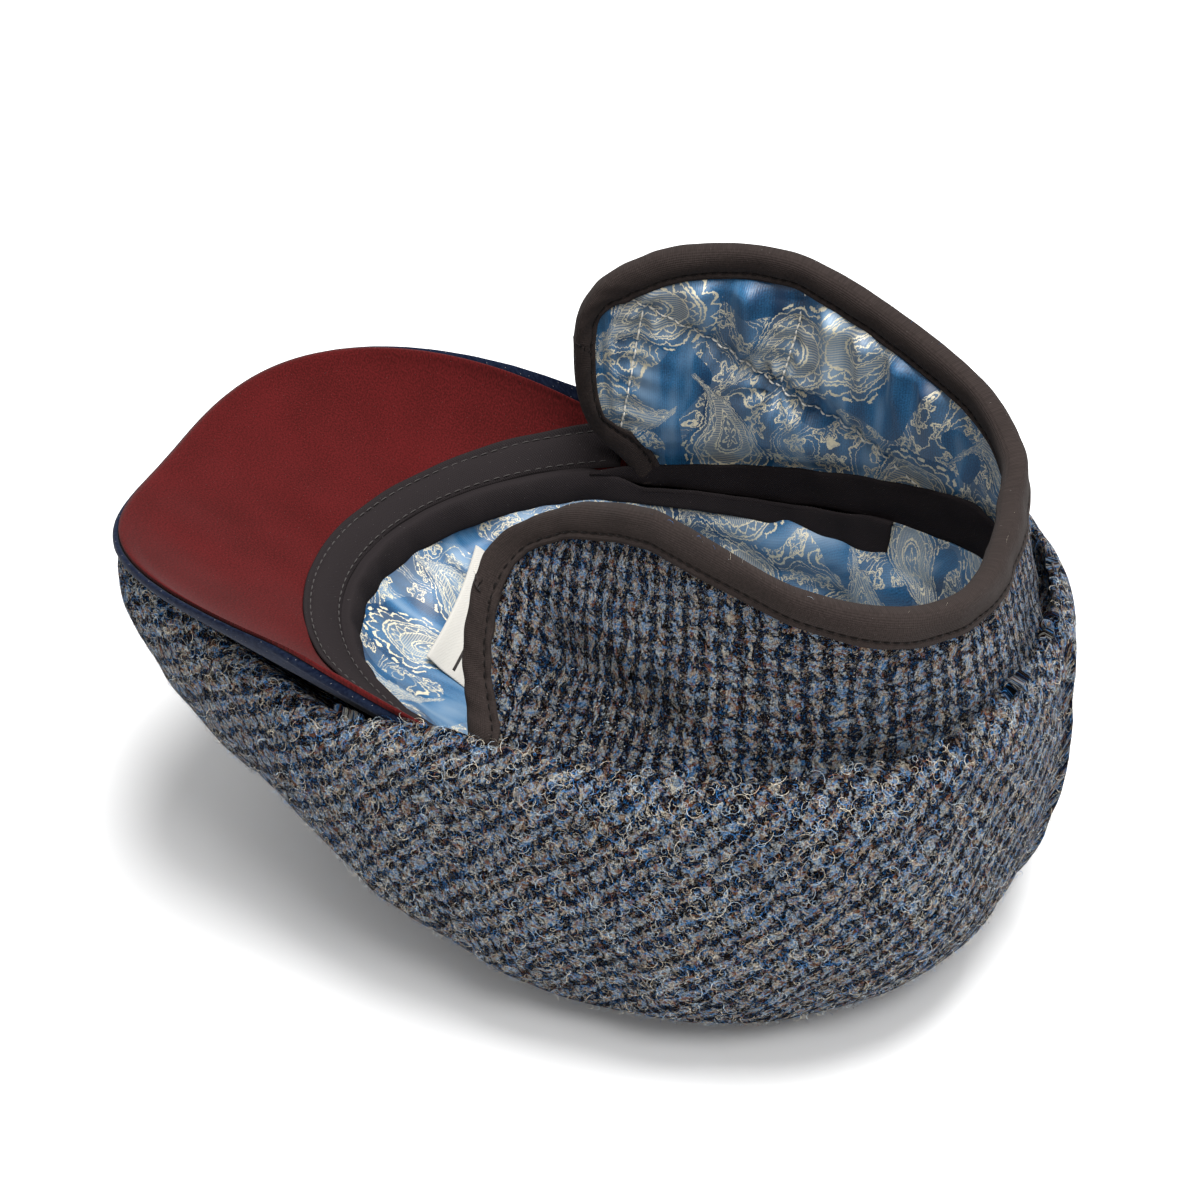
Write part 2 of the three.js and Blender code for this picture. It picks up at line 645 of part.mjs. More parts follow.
// Black tape that covers the base of the flap lining
function flapTape() {
  const turns = [];
  for (let turn = TAPE[0].at; turn <= 360 - TAPE[0].at; turn += 5.5) turns.push(turn);
  const outer = -4 * GAP - CLOTH.lining;
  const grid = (offset) => turns.map((turn) => {
    const at = mirrored(turn);
    const low = read(TAPE, 'low', at);
    const high = read(TAPE, 'high', at);
    return [0, 0.35, 0.65, 1].map((t) => flapPoint(turn, mix(low, high, t), offset));
  });
  return wall('flap_tape', COLOURS.black, grid(outer), grid(outer - CLOTH.tape));
}

const cap = new THREE.Group();
cap.add(crown(), crownLining(), label(), sweatband(), peakTop(), peakUnder(), peakFacing());
cap.add(earflapBand(), earflapLining(), flapBinding(), flapTape());

// Origin: middle of the cap in plan, on the surface it lies on
const bounds = new THREE.Box3().setFromObject(cap);
cap.position.set(-(bounds.min.x + bounds.max.x) / 2, -(bounds.min.y + bounds.max.y) / 2, -bounds.min.z);

export default cap;
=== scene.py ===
"""Dresses a tweed earflap cap, lying upside down on its crown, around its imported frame."""
import math

import bpy
import numpy as np
from mathutils import Matrix, Vector


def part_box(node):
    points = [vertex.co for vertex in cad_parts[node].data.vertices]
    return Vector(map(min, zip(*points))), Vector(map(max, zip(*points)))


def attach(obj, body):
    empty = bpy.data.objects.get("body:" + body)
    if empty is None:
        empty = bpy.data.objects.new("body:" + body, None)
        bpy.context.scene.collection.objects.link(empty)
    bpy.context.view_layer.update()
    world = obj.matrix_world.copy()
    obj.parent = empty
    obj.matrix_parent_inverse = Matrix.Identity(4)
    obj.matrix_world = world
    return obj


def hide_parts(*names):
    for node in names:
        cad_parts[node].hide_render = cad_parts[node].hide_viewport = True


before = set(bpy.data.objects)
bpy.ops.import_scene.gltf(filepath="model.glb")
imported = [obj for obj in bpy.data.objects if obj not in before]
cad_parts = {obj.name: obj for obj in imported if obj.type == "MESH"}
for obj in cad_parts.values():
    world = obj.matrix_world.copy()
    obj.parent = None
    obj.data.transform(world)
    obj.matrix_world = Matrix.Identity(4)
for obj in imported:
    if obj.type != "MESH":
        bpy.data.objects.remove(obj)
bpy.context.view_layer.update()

bl_info = {
    "name": "Earflap Cap",
    "version": (1, 0, 0),
    "blender": (4, 5, 0),
    "location": "3D View > Sidebar > Cap",
    "description": "Dresses a tweed earflap cap around its packed frame",
    "category": "Object",
}

MM = 0.001


def table(columns, *rows):
    """Rows of numbers under named columns."""
    return {name: np.array([row[k] for row in rows], float) for k, name in enumerate(columns.split())}


# Crown sections by plan angle from the front, in mm: distance from the seam's centre, and height
CROWN = table(
    "at foldR foldZ wideR wideZ midR midZ lowR lowZ restR",
    (0, 156.5, 98.5, 159.5, 89, 150, 57, 120, 26, 35),
    (15, 156.5, 101.5, 159.5, 91, 150, 57, 121, 27, 37),
    (20, 152.5, 103.0, 156.0, 92, 146, 60, 120, 29, 39),
    (26, 138.0, 98.5, 143.5, 88, 137, 60, 115, 30, 42),
    (34, 122.5, 94.0, 130.5, 82, 126, 56, 107, 28, 46),
    (42, 114.0, 92.0, 122.0, 77, 117, 50, 101, 25, 50),
    (50, 106.0, 91.5, 114.0, 74, 110, 45, 96, 21, 54),
    (60, 98.5, 93.5, 106.5, 73, 104, 41, 91, 16, 58),
    (75, 91.0, 95.0, 100.0, 73, 99, 37, 88, 12, 62),
    (90, 88.5, 95.0, 98.0, 73, 97, 35, 87, 10, 64),
    (110, 91.5, 95.0, 101.5, 73, 100, 35, 90, 10, 67),
    (130, 98.5, 95.5, 109.0, 74, 107, 36, 95, 11, 69),
    (150, 102.5, 97.0, 110.5, 77, 109, 38, 97, 12, 71),
    (180, 102.5, 99.5, 109.5, 80, 108, 40, 97, 12, 72),
)
CROWN_SEAM = {"offset": 2.9, "under_peak": 7.4, "crevice": 1.5, "peak_until": 58, "peak_fade": 12}
CROWN_CROWDING = 0.3
# Slant of the crown's cloth in degrees, and columns and steps of its mesh
CROWN_SLANT = -52
CROWN_GRID = (360, 10)
# The crown is plain closer to its middle than this, in mm
CROWN_PLAIN = 86

# Hanging bowl of the crown lining by turn round the seam: distances inside the seam, and depths below it
BOWL = table(
    "at puffIn puffDown midIn midDown lowIn lowDown",
    (0, 7.0, 12.5, 24, 22, 46, 38),
    (40, 7.0, 12.5, 22, 22, 42, 39),
    (75, 7.5, 15, 13, 32, 28, 46),
    (110, 7.5, 20, 10, 36, 25, 50),
    (150, 5.0, 20, 10, 38, 28, 51),
    (180, 4.5, 20, 10, 38, 30, 51),
)
BOWL_FLOOR = {"depth": 53, "centre_y": 8}
BOWL_EDGE = {"inward": 2.3, "tuck": 3.0, "bare": 3, "share": 0.9}
# Columns, steps and floor rows of the bowl's mesh
BOWL_GRID = (300, 12, 22)
# Two crossing families of quilting seams: their ways in plan, and spacing in mm
BOWL_QUILT = {"ways": ((0.66, 0.75), (-0.66, 0.75)), "shift": 77.0, "spacing": 66.0}
# Single soft folds of the crown lining: turn and depth of the two ends, height of the fold and its half width
BOWL_FOLDS = (
    (-36, -12.5, -25, -13.5, 3.2, 4.5),
    (-70, -17, -112, -34, 3.4, 5.5),
    (-96, -15, -128, -22, -2.0, 4.0),
    (20, -16, 44, -24, 2.4, 5.0),
    (80, -20, 120, -34, 2.6, 6.0),
)

# Line where the lining meets the band and tape, climbing towards the back of the head
CREASE = table("at rise", (0, 0), (105, 0), (127, 3.5), (142, 7.5), (180, 10))

# Sweatband by turn: start of its visible face, and its lower edge
BAND = table(
    "at startIn startUp reach drop",
    (0, 0.4, 0.8, 5.0, 8.5),
    (56, 0.4, 0.8, 5.2, 8),
    (63, 3.0, -1.5, 6.2, 8.5),
    (69, 4.2, -6.0, 6.6, 10),
    (90, 4.2, -7.3, 6.9, 12.5),
    (105, 4.2, -5.0, 6.9, 14),
    (117, 4.2, -1.2, 6.9, 14),
)
BAND_END = 117
BAND_FADE = 12
BAND_COLUMNS = 300

# Tape over the base of the flap lining: its two edges, measured from the seam
TAPE = table(
    "at low high",
    (58, 0.3, 0.9), (63, -2.4, 1.6), (70, -5, 2.0), (90, -6.9, 5.0),
    (105, -4.5, 8.5), (120, -1.8, 13.0), (140, 4.0, 20), (180, 6.6, 21),
)
TAPE_GRID = (290, 14)

# Pattern of the flaps, as turn round the seam and height above it. The lowest part is inside the crown's fold
FLAP = table(
    "at low top",
    (56.0, 34, 46), (56.7, 24, 52.6), (58.4, 16, 59.0), (60.2, 11.8, 63.2), (61.6, 9, 65.4), (64.6, 4, 68.8),
    (68.3, -3, 71.7), (71.0, -3, 73.7), (76.4, -3, 76), (87.2, -3, 77.6), (94.0, -3, 77), (101.3, -3, 73.7),
    (115.6, -3, 65), (132.3, -3, 56.5), (147.0, -3, 50), (165.0, -3, 47), (180.0, -3, 47),
)
FLAP_FRONT = 56.0
FLAP_ATTACHED = 71.0
FLAP_SETBACK = 2.2
FLAP_SPAN = 77
FLAP_STAND = 10
FLAP_LOW = -3.0
# Columns and rows of the two faces' meshes
FLAP_TWEED_GRID = (320, 44)
FLAP_SATIN_GRID = (380, 60)
# Millimetres of seam for each degree of turn at the front end
EDGE_SPEED = 1.67
# Front end of the free edge, from inside the crown's fold upwards, as turn and height
FRONT_EDGE = (
    (66.6, -5), (66.1, -1.5), (64.6, 3), (61.2, 9.5), (58.0, 17.5), (56.5, 26), (56, 34), (56, 40), (56, 46),
)
# The binding is narrower inside the fold at the left flap's front end
BINDING_NARROWS = {"by": 0.36, "from_turn": 297, "over_turn": 6}

# Inward lean of the flaps in degrees, from base to tip. Turns past 180 are the wearer's left
LEAN = table(
    "at base tip",
    (56, 43, 27), (62, 57, 23), (70, 64, 18), (80, 66, 14), (90, 61, 10), (100, 49, 11), (110, 32, 12),
    (122, 12, 3), (135, 5, 0), (150, 8, 0), (165, 17, 2), (180, 22, 5), (195, 20, 4), (210, 7, 0),
    (228, 0, 0), (304, 0, 0),
)
# The front corner of the right flap is pushed back along the seam by these lengths, at heights of its pattern
PUSH = table(
    "at back",
    (-5, 3.8), (-3, 5.0), (0, 6.4), (3, 8.2), (6, 9.8), (9.5, 10.6), (14, 10.8), (17.5, 10.8),
    (22, 9.4), (26, 8.4), (30, 6.9), (34, 5.8), (40, 3.7), (50, 1.2), (60, 0),
)
PUSH_FADE = {"from_turn": 57, "over_turn": 48}

# Thickness of each cloth, and the gap between layers, in mm
CLOTH = {"tweed": 2.0, "satin": 1.8, "binding": 0.9, "cotton": 1.2, "tape": 0.8, "gap": 0.3}

# Peak in plan in mm: a flat-fronted oval, its upward slope in degrees, and the turn at which its root ends
PEAK = {
    "half_width": 82.0, "side_forward": 40.2, "reach": 121.0, "fullness": 3, "slope": 23.7, "root_turn": 65.5,
    "side_limit": 0.972,
}
# Cloths of the peak in mm: both thicknesses, the border's width and rounding, and its depth below the facing
PEAK_SIDES = {"top": 3.0, "under": 1.4, "border": 1.5, "root_gap": 0.4, "round": 1.5, "sunk": 1.1}

# Cotton strip over the peak's root, by turn round the seam
FACING = {"end_turn": 64, "thickness": 1.0}
FACING_WIDTH = table("at width", (-64, 8), (-46, 10), (0, 10.5), (34, 10), (48, 7), (58, 4.2), (64, 3.6))

# Label in mm, with its near front corner in plan and its turn in degrees
LABEL = {"length": 50, "width": 20, "thickness": 0.4, "corner": (15, -74), "turn": -4, "lift": 0.8}
RULE = {"along": (3, 40), "across": (6.6, 7.3), "lift": 0.12}

# Quilting seams of a flap's satin, as turn and height on the left flap, and mirrored on the right one
QUILTING = (
    ((299.0, 63.5), (295.5, 60.8), (280.0, 46.5), (266.9, 33.8), (254.0, 24.5), (242.8, 14.5), (232.0, 8.5)),
    ((262.0, 73.0), (262.8, 67.1), (264.6, 50.0), (266.9, 33.8)),
    ((291.5, 55.0), (293.8, 34.0), (296.3, 11.0)),
)
QUILT_KNOT = (266.9, 33.8)
# Spacing of the jacquard's drops in mm
DROP_SPACING = 42.0

# Rows of stitches: thread, spacing, length and thickness in mm, and lift off the cloth
STITCHES = {
    "binding": ("dark_thread", 3.0, 2.2, 0.42, 0.0),
    "quilting": ("pale_thread", 2.4, 2.3, 0.62, 0.6),
    "strip": ("grey_thread", 3.4, 2.5, 0.35, 0.0),
}

# Loose fibres: width and length in mm
HAIR = {"width": 0.075, "segments": 5, "length": 4.0}

# Camera fitted to the photo: lengths in mm, angles in degrees
CAMERA = {
    "distance": 771.0, "azimuth": 109.73, "elevation": 34.47, "roll": -1.53, "aim": (-2.7, -0.6, 80.0),
    "lens": 80.49, "film": 36.0,
}
# Lamps: azimuth, elevation, distance, width and power, in degrees, metres and watts
LAMPS = {
    "overhead_softbox": (205, 81, 1.6, 0.9, 33),
    "key_softbox": (140, 54, 2.0, 0.8, 12),
}
AIR_STRENGTH = 0.56
# Half the width of the floor in metres
FLOOR_REACH = 6.0

PALETTE = {
    "tweed_night": "030406", "tweed_navy": "0D1A36", "tweed_bark": "2A1B13",
    "tweed_blue": "3E8EDA", "tweed_sky": "D3E6F4", "tweed_cream": "F6EAD2", "tweed_rust": "996041",
    "tweed_grey": "565A62", "fibre_white": "D5D2C8",
    # The pale and deep satin colours also paint the satin's sheen and fold shade
    "satin_blue": "2C709F", "satin_deep": "0D3558", "satin_pale": "A0ADB6", "jacquard_cream": "DED4B8",
    "moleskin": "541718", "moleskin_dark": "3B100F", "melton": "0C1326", "melton_light": "1A2234",
    # The tape colour is the black cotton painted darker, as the shade it lies in
    "tape": "231F20", "cotton": "292526", "cotton_thread": "8B8784", "strip_thread": "5E5B59",
    "binding": "342D2B", "binding_thread": "171413", "binding_shade": "2D2725",
    "quilt_thread": "F0EADD", "label": "C6C3BC", "label_rule": "33302F", "paper_white": "FFFFFF",
}

# Plain cloths: light and dark colour, nap in mm, lint, roughness, sheen, and thread spacing in mm if it shows
PLAIN_CLOTHS = {
    "moleskin_nap": ("moleskin", "moleskin_dark", 0.5, 0.007, 0.97, 0.10, None),
    "melton_wool": ("melton", "melton_light", 1.2, 0.03, 0.95, 0.10, None),
    "dyed_cotton": ("cotton", "cotton", 0.8, 0.010, 0.9, 0.0, 0.8),
    # Painted shade: the tape is the band's black cotton painted darker for the shade inside the flaps
    "black_tape": ("tape", "tape", 0.8, 0.010, 0.9, 0.0, 0.8),
    "bias_cotton": ("binding", "binding_shade", 0.8, 0.008, 0.9, 0.04, 0.8),
    "woven_label": ("label", "label", 0.8, 0.0, 0.7, 0.1, 0.7),
    "label_rule": ("label_rule", "label_rule", 0.8, 0.0, 0.7, 0.1, None),
    "pale_thread": ("quilt_thread", "quilt_thread", 0.5, 0.0, 0.6, 0.1, None),
    "grey_thread": ("strip_thread", "cotton", 0.5, 0.0, 0.6, 0.1, None),
    "dark_thread": ("binding_thread", "binding_thread", 0.5, 0.0, 0.6, 0.1, None),
}


def linear(hex_colour):
    """An sRGB hex value as a linear colour with full opacity."""
    parts = [int(hex_colour[k:k + 2], 16) / 255 for k in (0, 2, 4)]
    return tuple(c / 12.92 if c <= 0.04045 else ((c + 0.055) / 1.055) ** 2.4 for c in parts) + (1.0,)


class CapSizes(bpy.types.PropertyGroup):
    """Sizes that a user would change."""
    seam_half_length: bpy.props.FloatProperty(
        name="Seam half length", description="Half the head opening, front to back",
        default=0.100, unit="LENGTH", subtype="DISTANCE")
    seam_half_width: bpy.props.FloatProperty(
        name="Seam half width", description="Half the head opening, side to side",
        default=0.082, unit="LENGTH", subtype="DISTANCE")
    seam_height: bpy.props.FloatProperty(
        name="Seam height", description="Height of the head seam above the surface the crown lies on",
        default=0.080, unit="LENGTH", subtype="DISTANCE")
    binding_width: bpy.props.FloatProperty(
        name="Binding width", description="Width of the bias binding on each face of a flap",
        default=0.0095, unit="LENGTH", subtype="DISTANCE")
    puff: bpy.props.FloatProperty(
        name="Quilting puff", description="How far the padded satin stands up between its seams",
        default=0.0056, unit="LENGTH", subtype="DISTANCE")
    thread: bpy.props.FloatProperty(
        name="Tweed thread", description="Spacing of the threads in the tweed's check",
        default=0.00070, unit="LENGTH", subtype="DISTANCE")
    hairs: bpy.props.IntProperty(
        name="Tweed hairs", description="Number of loose wool fibres on the crown", default=34000, min=0)
    flap_hairs: bpy.props.IntProperty(
        name="Flap hairs", description="Number of loose wool fibres on the flaps", default=17000, min=0)


class CapColours(bpy.types.PropertyGroup):
    """Colours that a user would change."""
    moleskin: bpy.props.FloatVectorProperty(
        name="Moleskin", description="Facing cloth of the peak", subtype="COLOR", size=4,
        min=0, max=1, default=linear(PALETTE["moleskin"]))
    melton: bpy.props.FloatVectorProperty(
        name="Melton", description="Cloth round the peak's edge and outside", subtype="COLOR", size=4,
        min=0, max=1, default=linear(PALETTE["melton"]))
    satin: bpy.props.FloatVectorProperty(
        name="Satin", description="Ground of the jacquard lining", subtype="COLOR", size=4,
        min=0, max=1, default=linear(PALETTE["satin_blue"]))
    binding: bpy.props.FloatVectorProperty(
        name="Binding", description="Bias binding of the flaps", subtype="COLOR", size=4,
        min=0, max=1, default=linear(PALETTE["binding"]))
    cotton: bpy.props.FloatVectorProperty(
        name="Cotton", description="Band and strip inside the cap", subtype="COLOR", size=4,
        min=0, max=1, default=linear(PALETTE["cotton"]))


def size(name):
    """One driving size in millimetres."""
    return getattr(bpy.context.scene.cap_sizes, name) / MM


def colour(name):
    """A colour that the user may have changed, or else one of the palette."""
    chosen = getattr(bpy.context.scene.cap_colours, name, None)
    return linear(PALETTE[name]) if chosen is None else tuple(chosen)


def mix(a, b, t):
    return a + (b - a) * t


def smooth(t):
    t = np.clip(t, 0, 1)
    return t * t * (3 - 2 * t)


def unit(vectors):
    return vectors / np.maximum(np.linalg.norm(vectors, axis=-1, keepdims=True), 1e-9)


def read(rows, column, at):
    """Smooth curve through one column of a table, at any positions."""
    x, y = rows["at"], rows[column]
    at = np.clip(at, x[0], x[-1])
    k = np.clip(np.searchsorted(x, at, side="right") - 1, 0, len(x) - 2)
    span = np.diff(x)
    steep = np.diff(y) / span
    before, after = steep[:-1], steep[1:]
    agree = before * after > 0
    slope = np.zeros(len(x))
    slope[1:-1][agree] = 2 * before[agree] * after[agree] / (before[agree] + after[agree])
    t = (at - x[k]) / span[k]
    bend = (1 - t) * slope[k] * span[k] - t * slope[k + 1] * span[k]
    return mix(y[k], y[k + 1], t * t * (3 - 2 * t)) + t * (1 - t) * bend


def curve(corners, steps):
    """Centripetal spline through the corners in the second last axis, with some steps between each pair."""
    first = 2 * corners[..., :1, :] - corners[..., 1:2, :]
    last = 2 * corners[..., -1:, :] - corners[..., -2:-1, :]
    p = np.concatenate([first, corners, last], -2)
    gap = np.maximum(np.linalg.norm(np.diff(p, axis=-2), axis=-1, keepdims=True), 1e-4) ** 0.5
    g0, g1, g2 = gap[..., :-2, :], gap[..., 1:-1, :], gap[..., 2:, :]
    a, b, c, d = p[..., :-3, :], p[..., 1:-2, :], p[..., 2:-1, :], p[..., 3:, :]
    out = g1 * ((b - a) / g0 - (c - a) / (g0 + g1) + (c - b) / g1)
    into = g1 * ((c - b) / g1 - (d - b) / (g1 + g2) + (d - c) / g2)
    pieces = []
    for k in range(steps):
        t = k / steps
        pieces.append((2 * t ** 3 - 3 * t ** 2 + 1) * b + (t ** 3 - 2 * t ** 2 + t) * out
                      + (3 * t ** 2 - 2 * t ** 3) * c + (t ** 3 - t ** 2) * into)
    run = np.stack(pieces, -2)
    run = run.reshape(run.shape[:-3] + (-1, run.shape[-1]))
    return np.concatenate([run, corners[..., -1:, :]], -2)


def ripple(points, lump, seed, waves=9):
    """Soft uneven field, mostly between -1 and 1, with lumps of the given size in millimetres."""
    draw = np.random.default_rng(seed)
    total = np.zeros(points.shape[:-1])
    for _ in range(waves):
        way = draw.normal(size=points.shape[-1])
        way *= 2 * math.pi / (lump * np.linalg.norm(way) * draw.uniform(0.7, 1.5))
        total += np.sin(points @ way + draw.uniform(0, 2 * math.pi))
    return total / math.sqrt(waves)


def seam_point(turn, offset):
    """Places in plan round the head seam, moved outward. Turn 0 is the front and 90 the wearer's right."""
    angle = np.radians(turn)
    nx = np.sin(angle) * size("seam_half_length")
    ny = -np.cos(angle) * size("seam_half_width")
    n = np.hypot(nx, ny)
    x = size("seam_half_width") * np.sin(angle) + nx / n * offset
    y = -size("seam_half_length") * np.cos(angle) + ny / n * offset
    return np.stack([x, y], -1)


def seam_radius(plan):
    across = np.sin(np.radians(plan)) / size("seam_half_width")
    along = np.cos(np.radians(plan)) / size("seam_half_length")
    return 1 / np.hypot(across, along)


def seam_speed(turn):
    """Millimetres of seam for each degree of turn."""
    across = size("seam_half_width") * np.cos(np.radians(turn))
    along = size("seam_half_length") * np.sin(np.radians(turn))
    return np.radians(np.hypot(across, along))


def seam_length(turn):
    """Length of the seam from the front to a turn."""
    stations = np.linspace(0, 360, 721)
    lengths = np.concatenate([[0], np.cumsum(seam_speed(stations[:-1] + 0.25) * 0.5)])
    return np.interp(turn, stations, lengths)


def mirrored(turn):
    return np.where(turn > 180, 360 - turn, turn)


def normals(grid, ring=False):
    """Unit normals of a grid of points."""
    if ring:
        across = np.roll(grid, -1, 0) - np.roll(grid, 1, 0)
    else:
        across = np.gradient(grid, axis=0)
    along = np.gradient(grid, axis=1)
    return unit(np.cross(across, along))


def spans(weave):
    """The weave of each strip of quads: that of its first and of its second column."""
    return np.stack([weave[:-1], weave[1:]], 1)


def model_shift():
    """Moves the seam's centre to its place in the frame, found from the tip of the peak."""
    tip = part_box("peak_top")[0].y / MM
    return np.array([0, tip + PEAK["side_forward"] + PEAK["reach"], 0])


def build(name, points, polygons, material, flat=()):
    """Makes a mesh from millimetre points and lists of (corner indices, weave places), all faces outward."""
    points = (points + model_shift()) * MM
    volume = 0
    for corners, _ in polygons:
        for k in range(1, corners.shape[1] - 1):
            a, b, c = points[corners[:, 0]], points[corners[:, k]], points[corners[:, k + 1]]
            volume += np.einsum("ij,ij->i", a, np.cross(b, c)).sum()
    if volume < 0:
        polygons = [(corners[:, ::-1], weave[:, ::-1]) for corners, weave in polygons]
    mesh = bpy.data.meshes.new(name)
    mesh.vertices.add(len(points))
    mesh.vertices.foreach_set("co", points.ravel())
    counts = np.concatenate([np.full(len(corners), corners.shape[1]) for corners, _ in polygons])
    mesh.loops.add(int(counts.sum()))
    mesh.polygons.add(len(counts))
    mesh.loops.foreach_set("vertex_index", np.concatenate([corners.ravel() for corners, _ in polygons]))
    mesh.polygons.foreach_set("loop_start", np.concatenate([[0], np.cumsum(counts)[:-1]]))
    rounded = [k not in flat for k in range(len(polygons))]
    rounded = np.repeat(rounded, [len(corners) for corners, _ in polygons])
    mesh.polygons.foreach_set("use_smooth", rounded)
    weave_map = mesh.uv_layers.new(name="weave")
    weave_map.data.foreach_set("uv", np.concatenate([weave.reshape(-1) for _, weave in polygons]))
    mesh.update(calc_edges=True)
    mesh.validate()
    piece = bpy.data.objects.new(name, mesh)
    bpy.context.scene.collection.objects.link(piece)
    mesh.materials.append(material)
    return piece


def wall(name, front, back, weave, material, ring=False, closed=False):
    """A cloth wall between two facing grids. A ring joins its ends, and a closed one fills its last row."""
    columns, rows = front.shape[:2]
    points = np.concatenate([front.reshape(-1, 3), back.reshape(-1, 3)])
    i, j = np.meshgrid(np.arange(len(weave)), np.arange(rows - 1), indexing="ij")
    after = (i + 1) % columns

    def at(side, column, row):
        return side * columns * rows + column * rows + row

    def quads(corners, places):
        return np.stack([c.ravel() for c in corners], -1), np.stack([p.reshape(-1, 2) for p in places], 1)

    places = [weave[i, 0, j], weave[i, 1, j], weave[i, 1, j + 1], weave[i, 0, j + 1]]
    polygons = [
        quads([at(0, i, j), at(0, after, j), at(0, after, j + 1), at(0, i, j + 1)], places),
        quads([at(1, i, j), at(1, i, j + 1), at(1, after, j + 1), at(1, after, j)],
              [places[0], places[3], places[2], places[1]]),
    ]
    k, end = i[:, 0], after[:, 0]
    first, last = np.zeros_like(k), np.full_like(k, rows - 1)
    polygons.append(quads([at(0, k, first), at(1, k, first), at(1, end, first), at(0, end, first)],
                          [weave[k, 0, 0], weave[k, 0, 0], weave[k, 1, 0], weave[k, 1, 0]]))
    if not closed:
        polygons.append(quads([at(0, k, last), at(0, end, last), at(1, end, last), at(1, k, last)],
                              [weave[k, 0, -1], weave[k, 1, -1], weave[k, 1, -1], weave[k, 0, -1]]))
    if not ring:
        r = np.arange(rows - 1)
        for column, strip, side in ((0, 0, 0), (columns - 1, -1, 1)):
            c = np.full_like(r, column)
            corners = [at(0, c, r), at(0, c, r + 1), at(1, c, r + 1), at(1, c, r)]
            edge = weave[strip, side]
            strip_weave = [edge[:-1], edge[1:], edge[1:], edge[:-1]]
            if side:
                corners, strip_weave = corners[::-1], strip_weave[::-1]
            polygons.append(quads(corners, strip_weave))
    if closed:
        hubs = np.stack([front[:, -1].mean(0), back[:, -1].mean(0)])
        points = np.concatenate([points, hubs])
        for side in (0, 1):
            hub = np.full_like(k, 2 * columns * rows + side)
            corners = [at(side, k, last), at(side, end, last), hub]
            edge = [weave[k, 0, -1], weave[k, 1, -1], (weave[k, 0, -1] + weave[k, 1, -1]) / 2]
            if side:
                corners, edge = corners[::-1], edge[::-1]
            polygons.append(quads(corners, edge))
    return build(name, points, polygons, material, flat=(2, 3))


def tube(name, sections, weave, material):
    """A closed section carried along stations: sections has stations, corners and coordinates."""
    stations, corners = sections.shape[:2]
    points = sections.reshape(-1, 3)
    i, j = np.meshgrid(np.arange(stations - 1), np.arange(corners), indexing="ij")
    after = (j + 1) % corners
    indices = [i * corners + j, (i + 1) * corners + j, (i + 1) * corners + after, i * corners + after]
    places = [weave[i, j], weave[i + 1, j], weave[i + 1, j + 1], weave[i, j + 1]]
    body = np.stack([k.ravel() for k in indices], -1), np.stack([p.reshape(-1, 2) for p in places], 1)
    ring = np.arange(corners)
    start = ring[None, :], weave[0, :-1][None]
    end = (ring[::-1] + (stations - 1) * corners)[None, :], weave[-1, :-1][::-1][None]
    return build(name, points, [body, start, end], material, flat=(1, 2))


def dress(piece, node_slot, *nodes, padded=None):
    """The piece rides on the cap and stands for CAD nodes, which are hidden."""
    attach(piece, "root")
    if nodes:
        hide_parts(*nodes)
    return piece


def crown_face(columns, steps):
    """Outer face of the crown, from the head seam over the fold to the rest, and its weave."""
    even = np.linspace(0, 360, columns, endpoint=False)
    plan = even - np.degrees(CROWN_CROWDING * np.sin(np.radians(even)))
    at = mirrored(plan)
    row = {name: read(CROWN, name, at) for name in CROWN}
    under_peak = 1 - smooth((at - CROWN_SEAM["peak_until"]) / CROWN_SEAM["peak_fade"])
    seam_r = seam_radius(plan) + CROWN_SEAM["offset"]
    seam_z = size("seam_height") - mix(CROWN_SEAM["crevice"], CROWN_SEAM["under_peak"], under_peak)
    bend_r = mix(seam_r + 3.6, mix(seam_r, row["foldR"], 0.5), under_peak)
    bend_z = mix(seam_z + 7, mix(seam_z, row["foldZ"], 0.5) - 1, under_peak)
    shoulder_r = mix(row["foldR"], row["wideR"], 0.75)
    shoulder_z = mix(row["foldZ"], row["wideZ"], 0.3)
    radii = [seam_r, bend_r, row["foldR"], shoulder_r, row["wideR"], row["midR"], row["lowR"], row["restR"]]
    heights = [seam_z, bend_z, row["foldZ"], shoulder_z, row["wideZ"], row["midZ"], row["lowZ"], 0 * plan]
    run = curve(np.stack([np.stack(radii, -1), np.stack(heights, -1)], -1), steps)
    angle = np.radians(plan)[:, None]
    x, y = run[..., 0] * np.sin(angle), -run[..., 0] * np.cos(angle)
    grid = np.stack([x, y, np.maximum(run[..., 1], 0)], -1)
    grid = grid + normals(grid, True) * crown_relief(grid)[..., None]
    grid[..., 2] = np.clip(grid[..., 2], 0, under_peak_limit(grid[..., 0], grid[..., 1]))
    return grid, crown_weave(plan, grid, 2 * steps)


def crown_relief(grid):
    """Soft lumps of the cloth, and the centre seam as a ridge between two hollows. Positive is inward."""
    from_seam = np.abs(grid[..., 0])
    lower = smooth((grid[..., 2] - 2) / 20)
    body = smooth((np.hypot(grid[..., 0], grid[..., 1]) - CROWN_PLAIN) / 6)
    lumps = 1.0 * ripple(grid, 52, 3) + 0.35 * ripple(grid, 17, 4)
    groove = 0.9 * np.exp(-((from_seam - 3.4) / 2.0) ** 2) - 2.2 * np.exp(-(from_seam / 1.5) ** 2)
    return (lumps * lower + groove) * body


def under_peak_limit(x, y):
    """Greatest height of the crown: it stays clear below the peak."""
    half_width = PEAK["half_width"] + 1
    side = np.clip(np.abs(x) / half_width, 0, 1)
    reach = PEAK["reach"] + 1
    front = PEAK["side_forward"] + reach * (1 - side ** PEAK["fullness"]) ** (1 / PEAK["fullness"])
    inside = (np.abs(x) < half_width) & (-y > 34) & (-y < front)
    clear = PEAK_SIDES["top"] + PEAK_SIDES["under"] + CLOTH["gap"] + 0.7
    return np.where(inside, size("seam_height") + peak_rise(x, y) - clear, 1000)


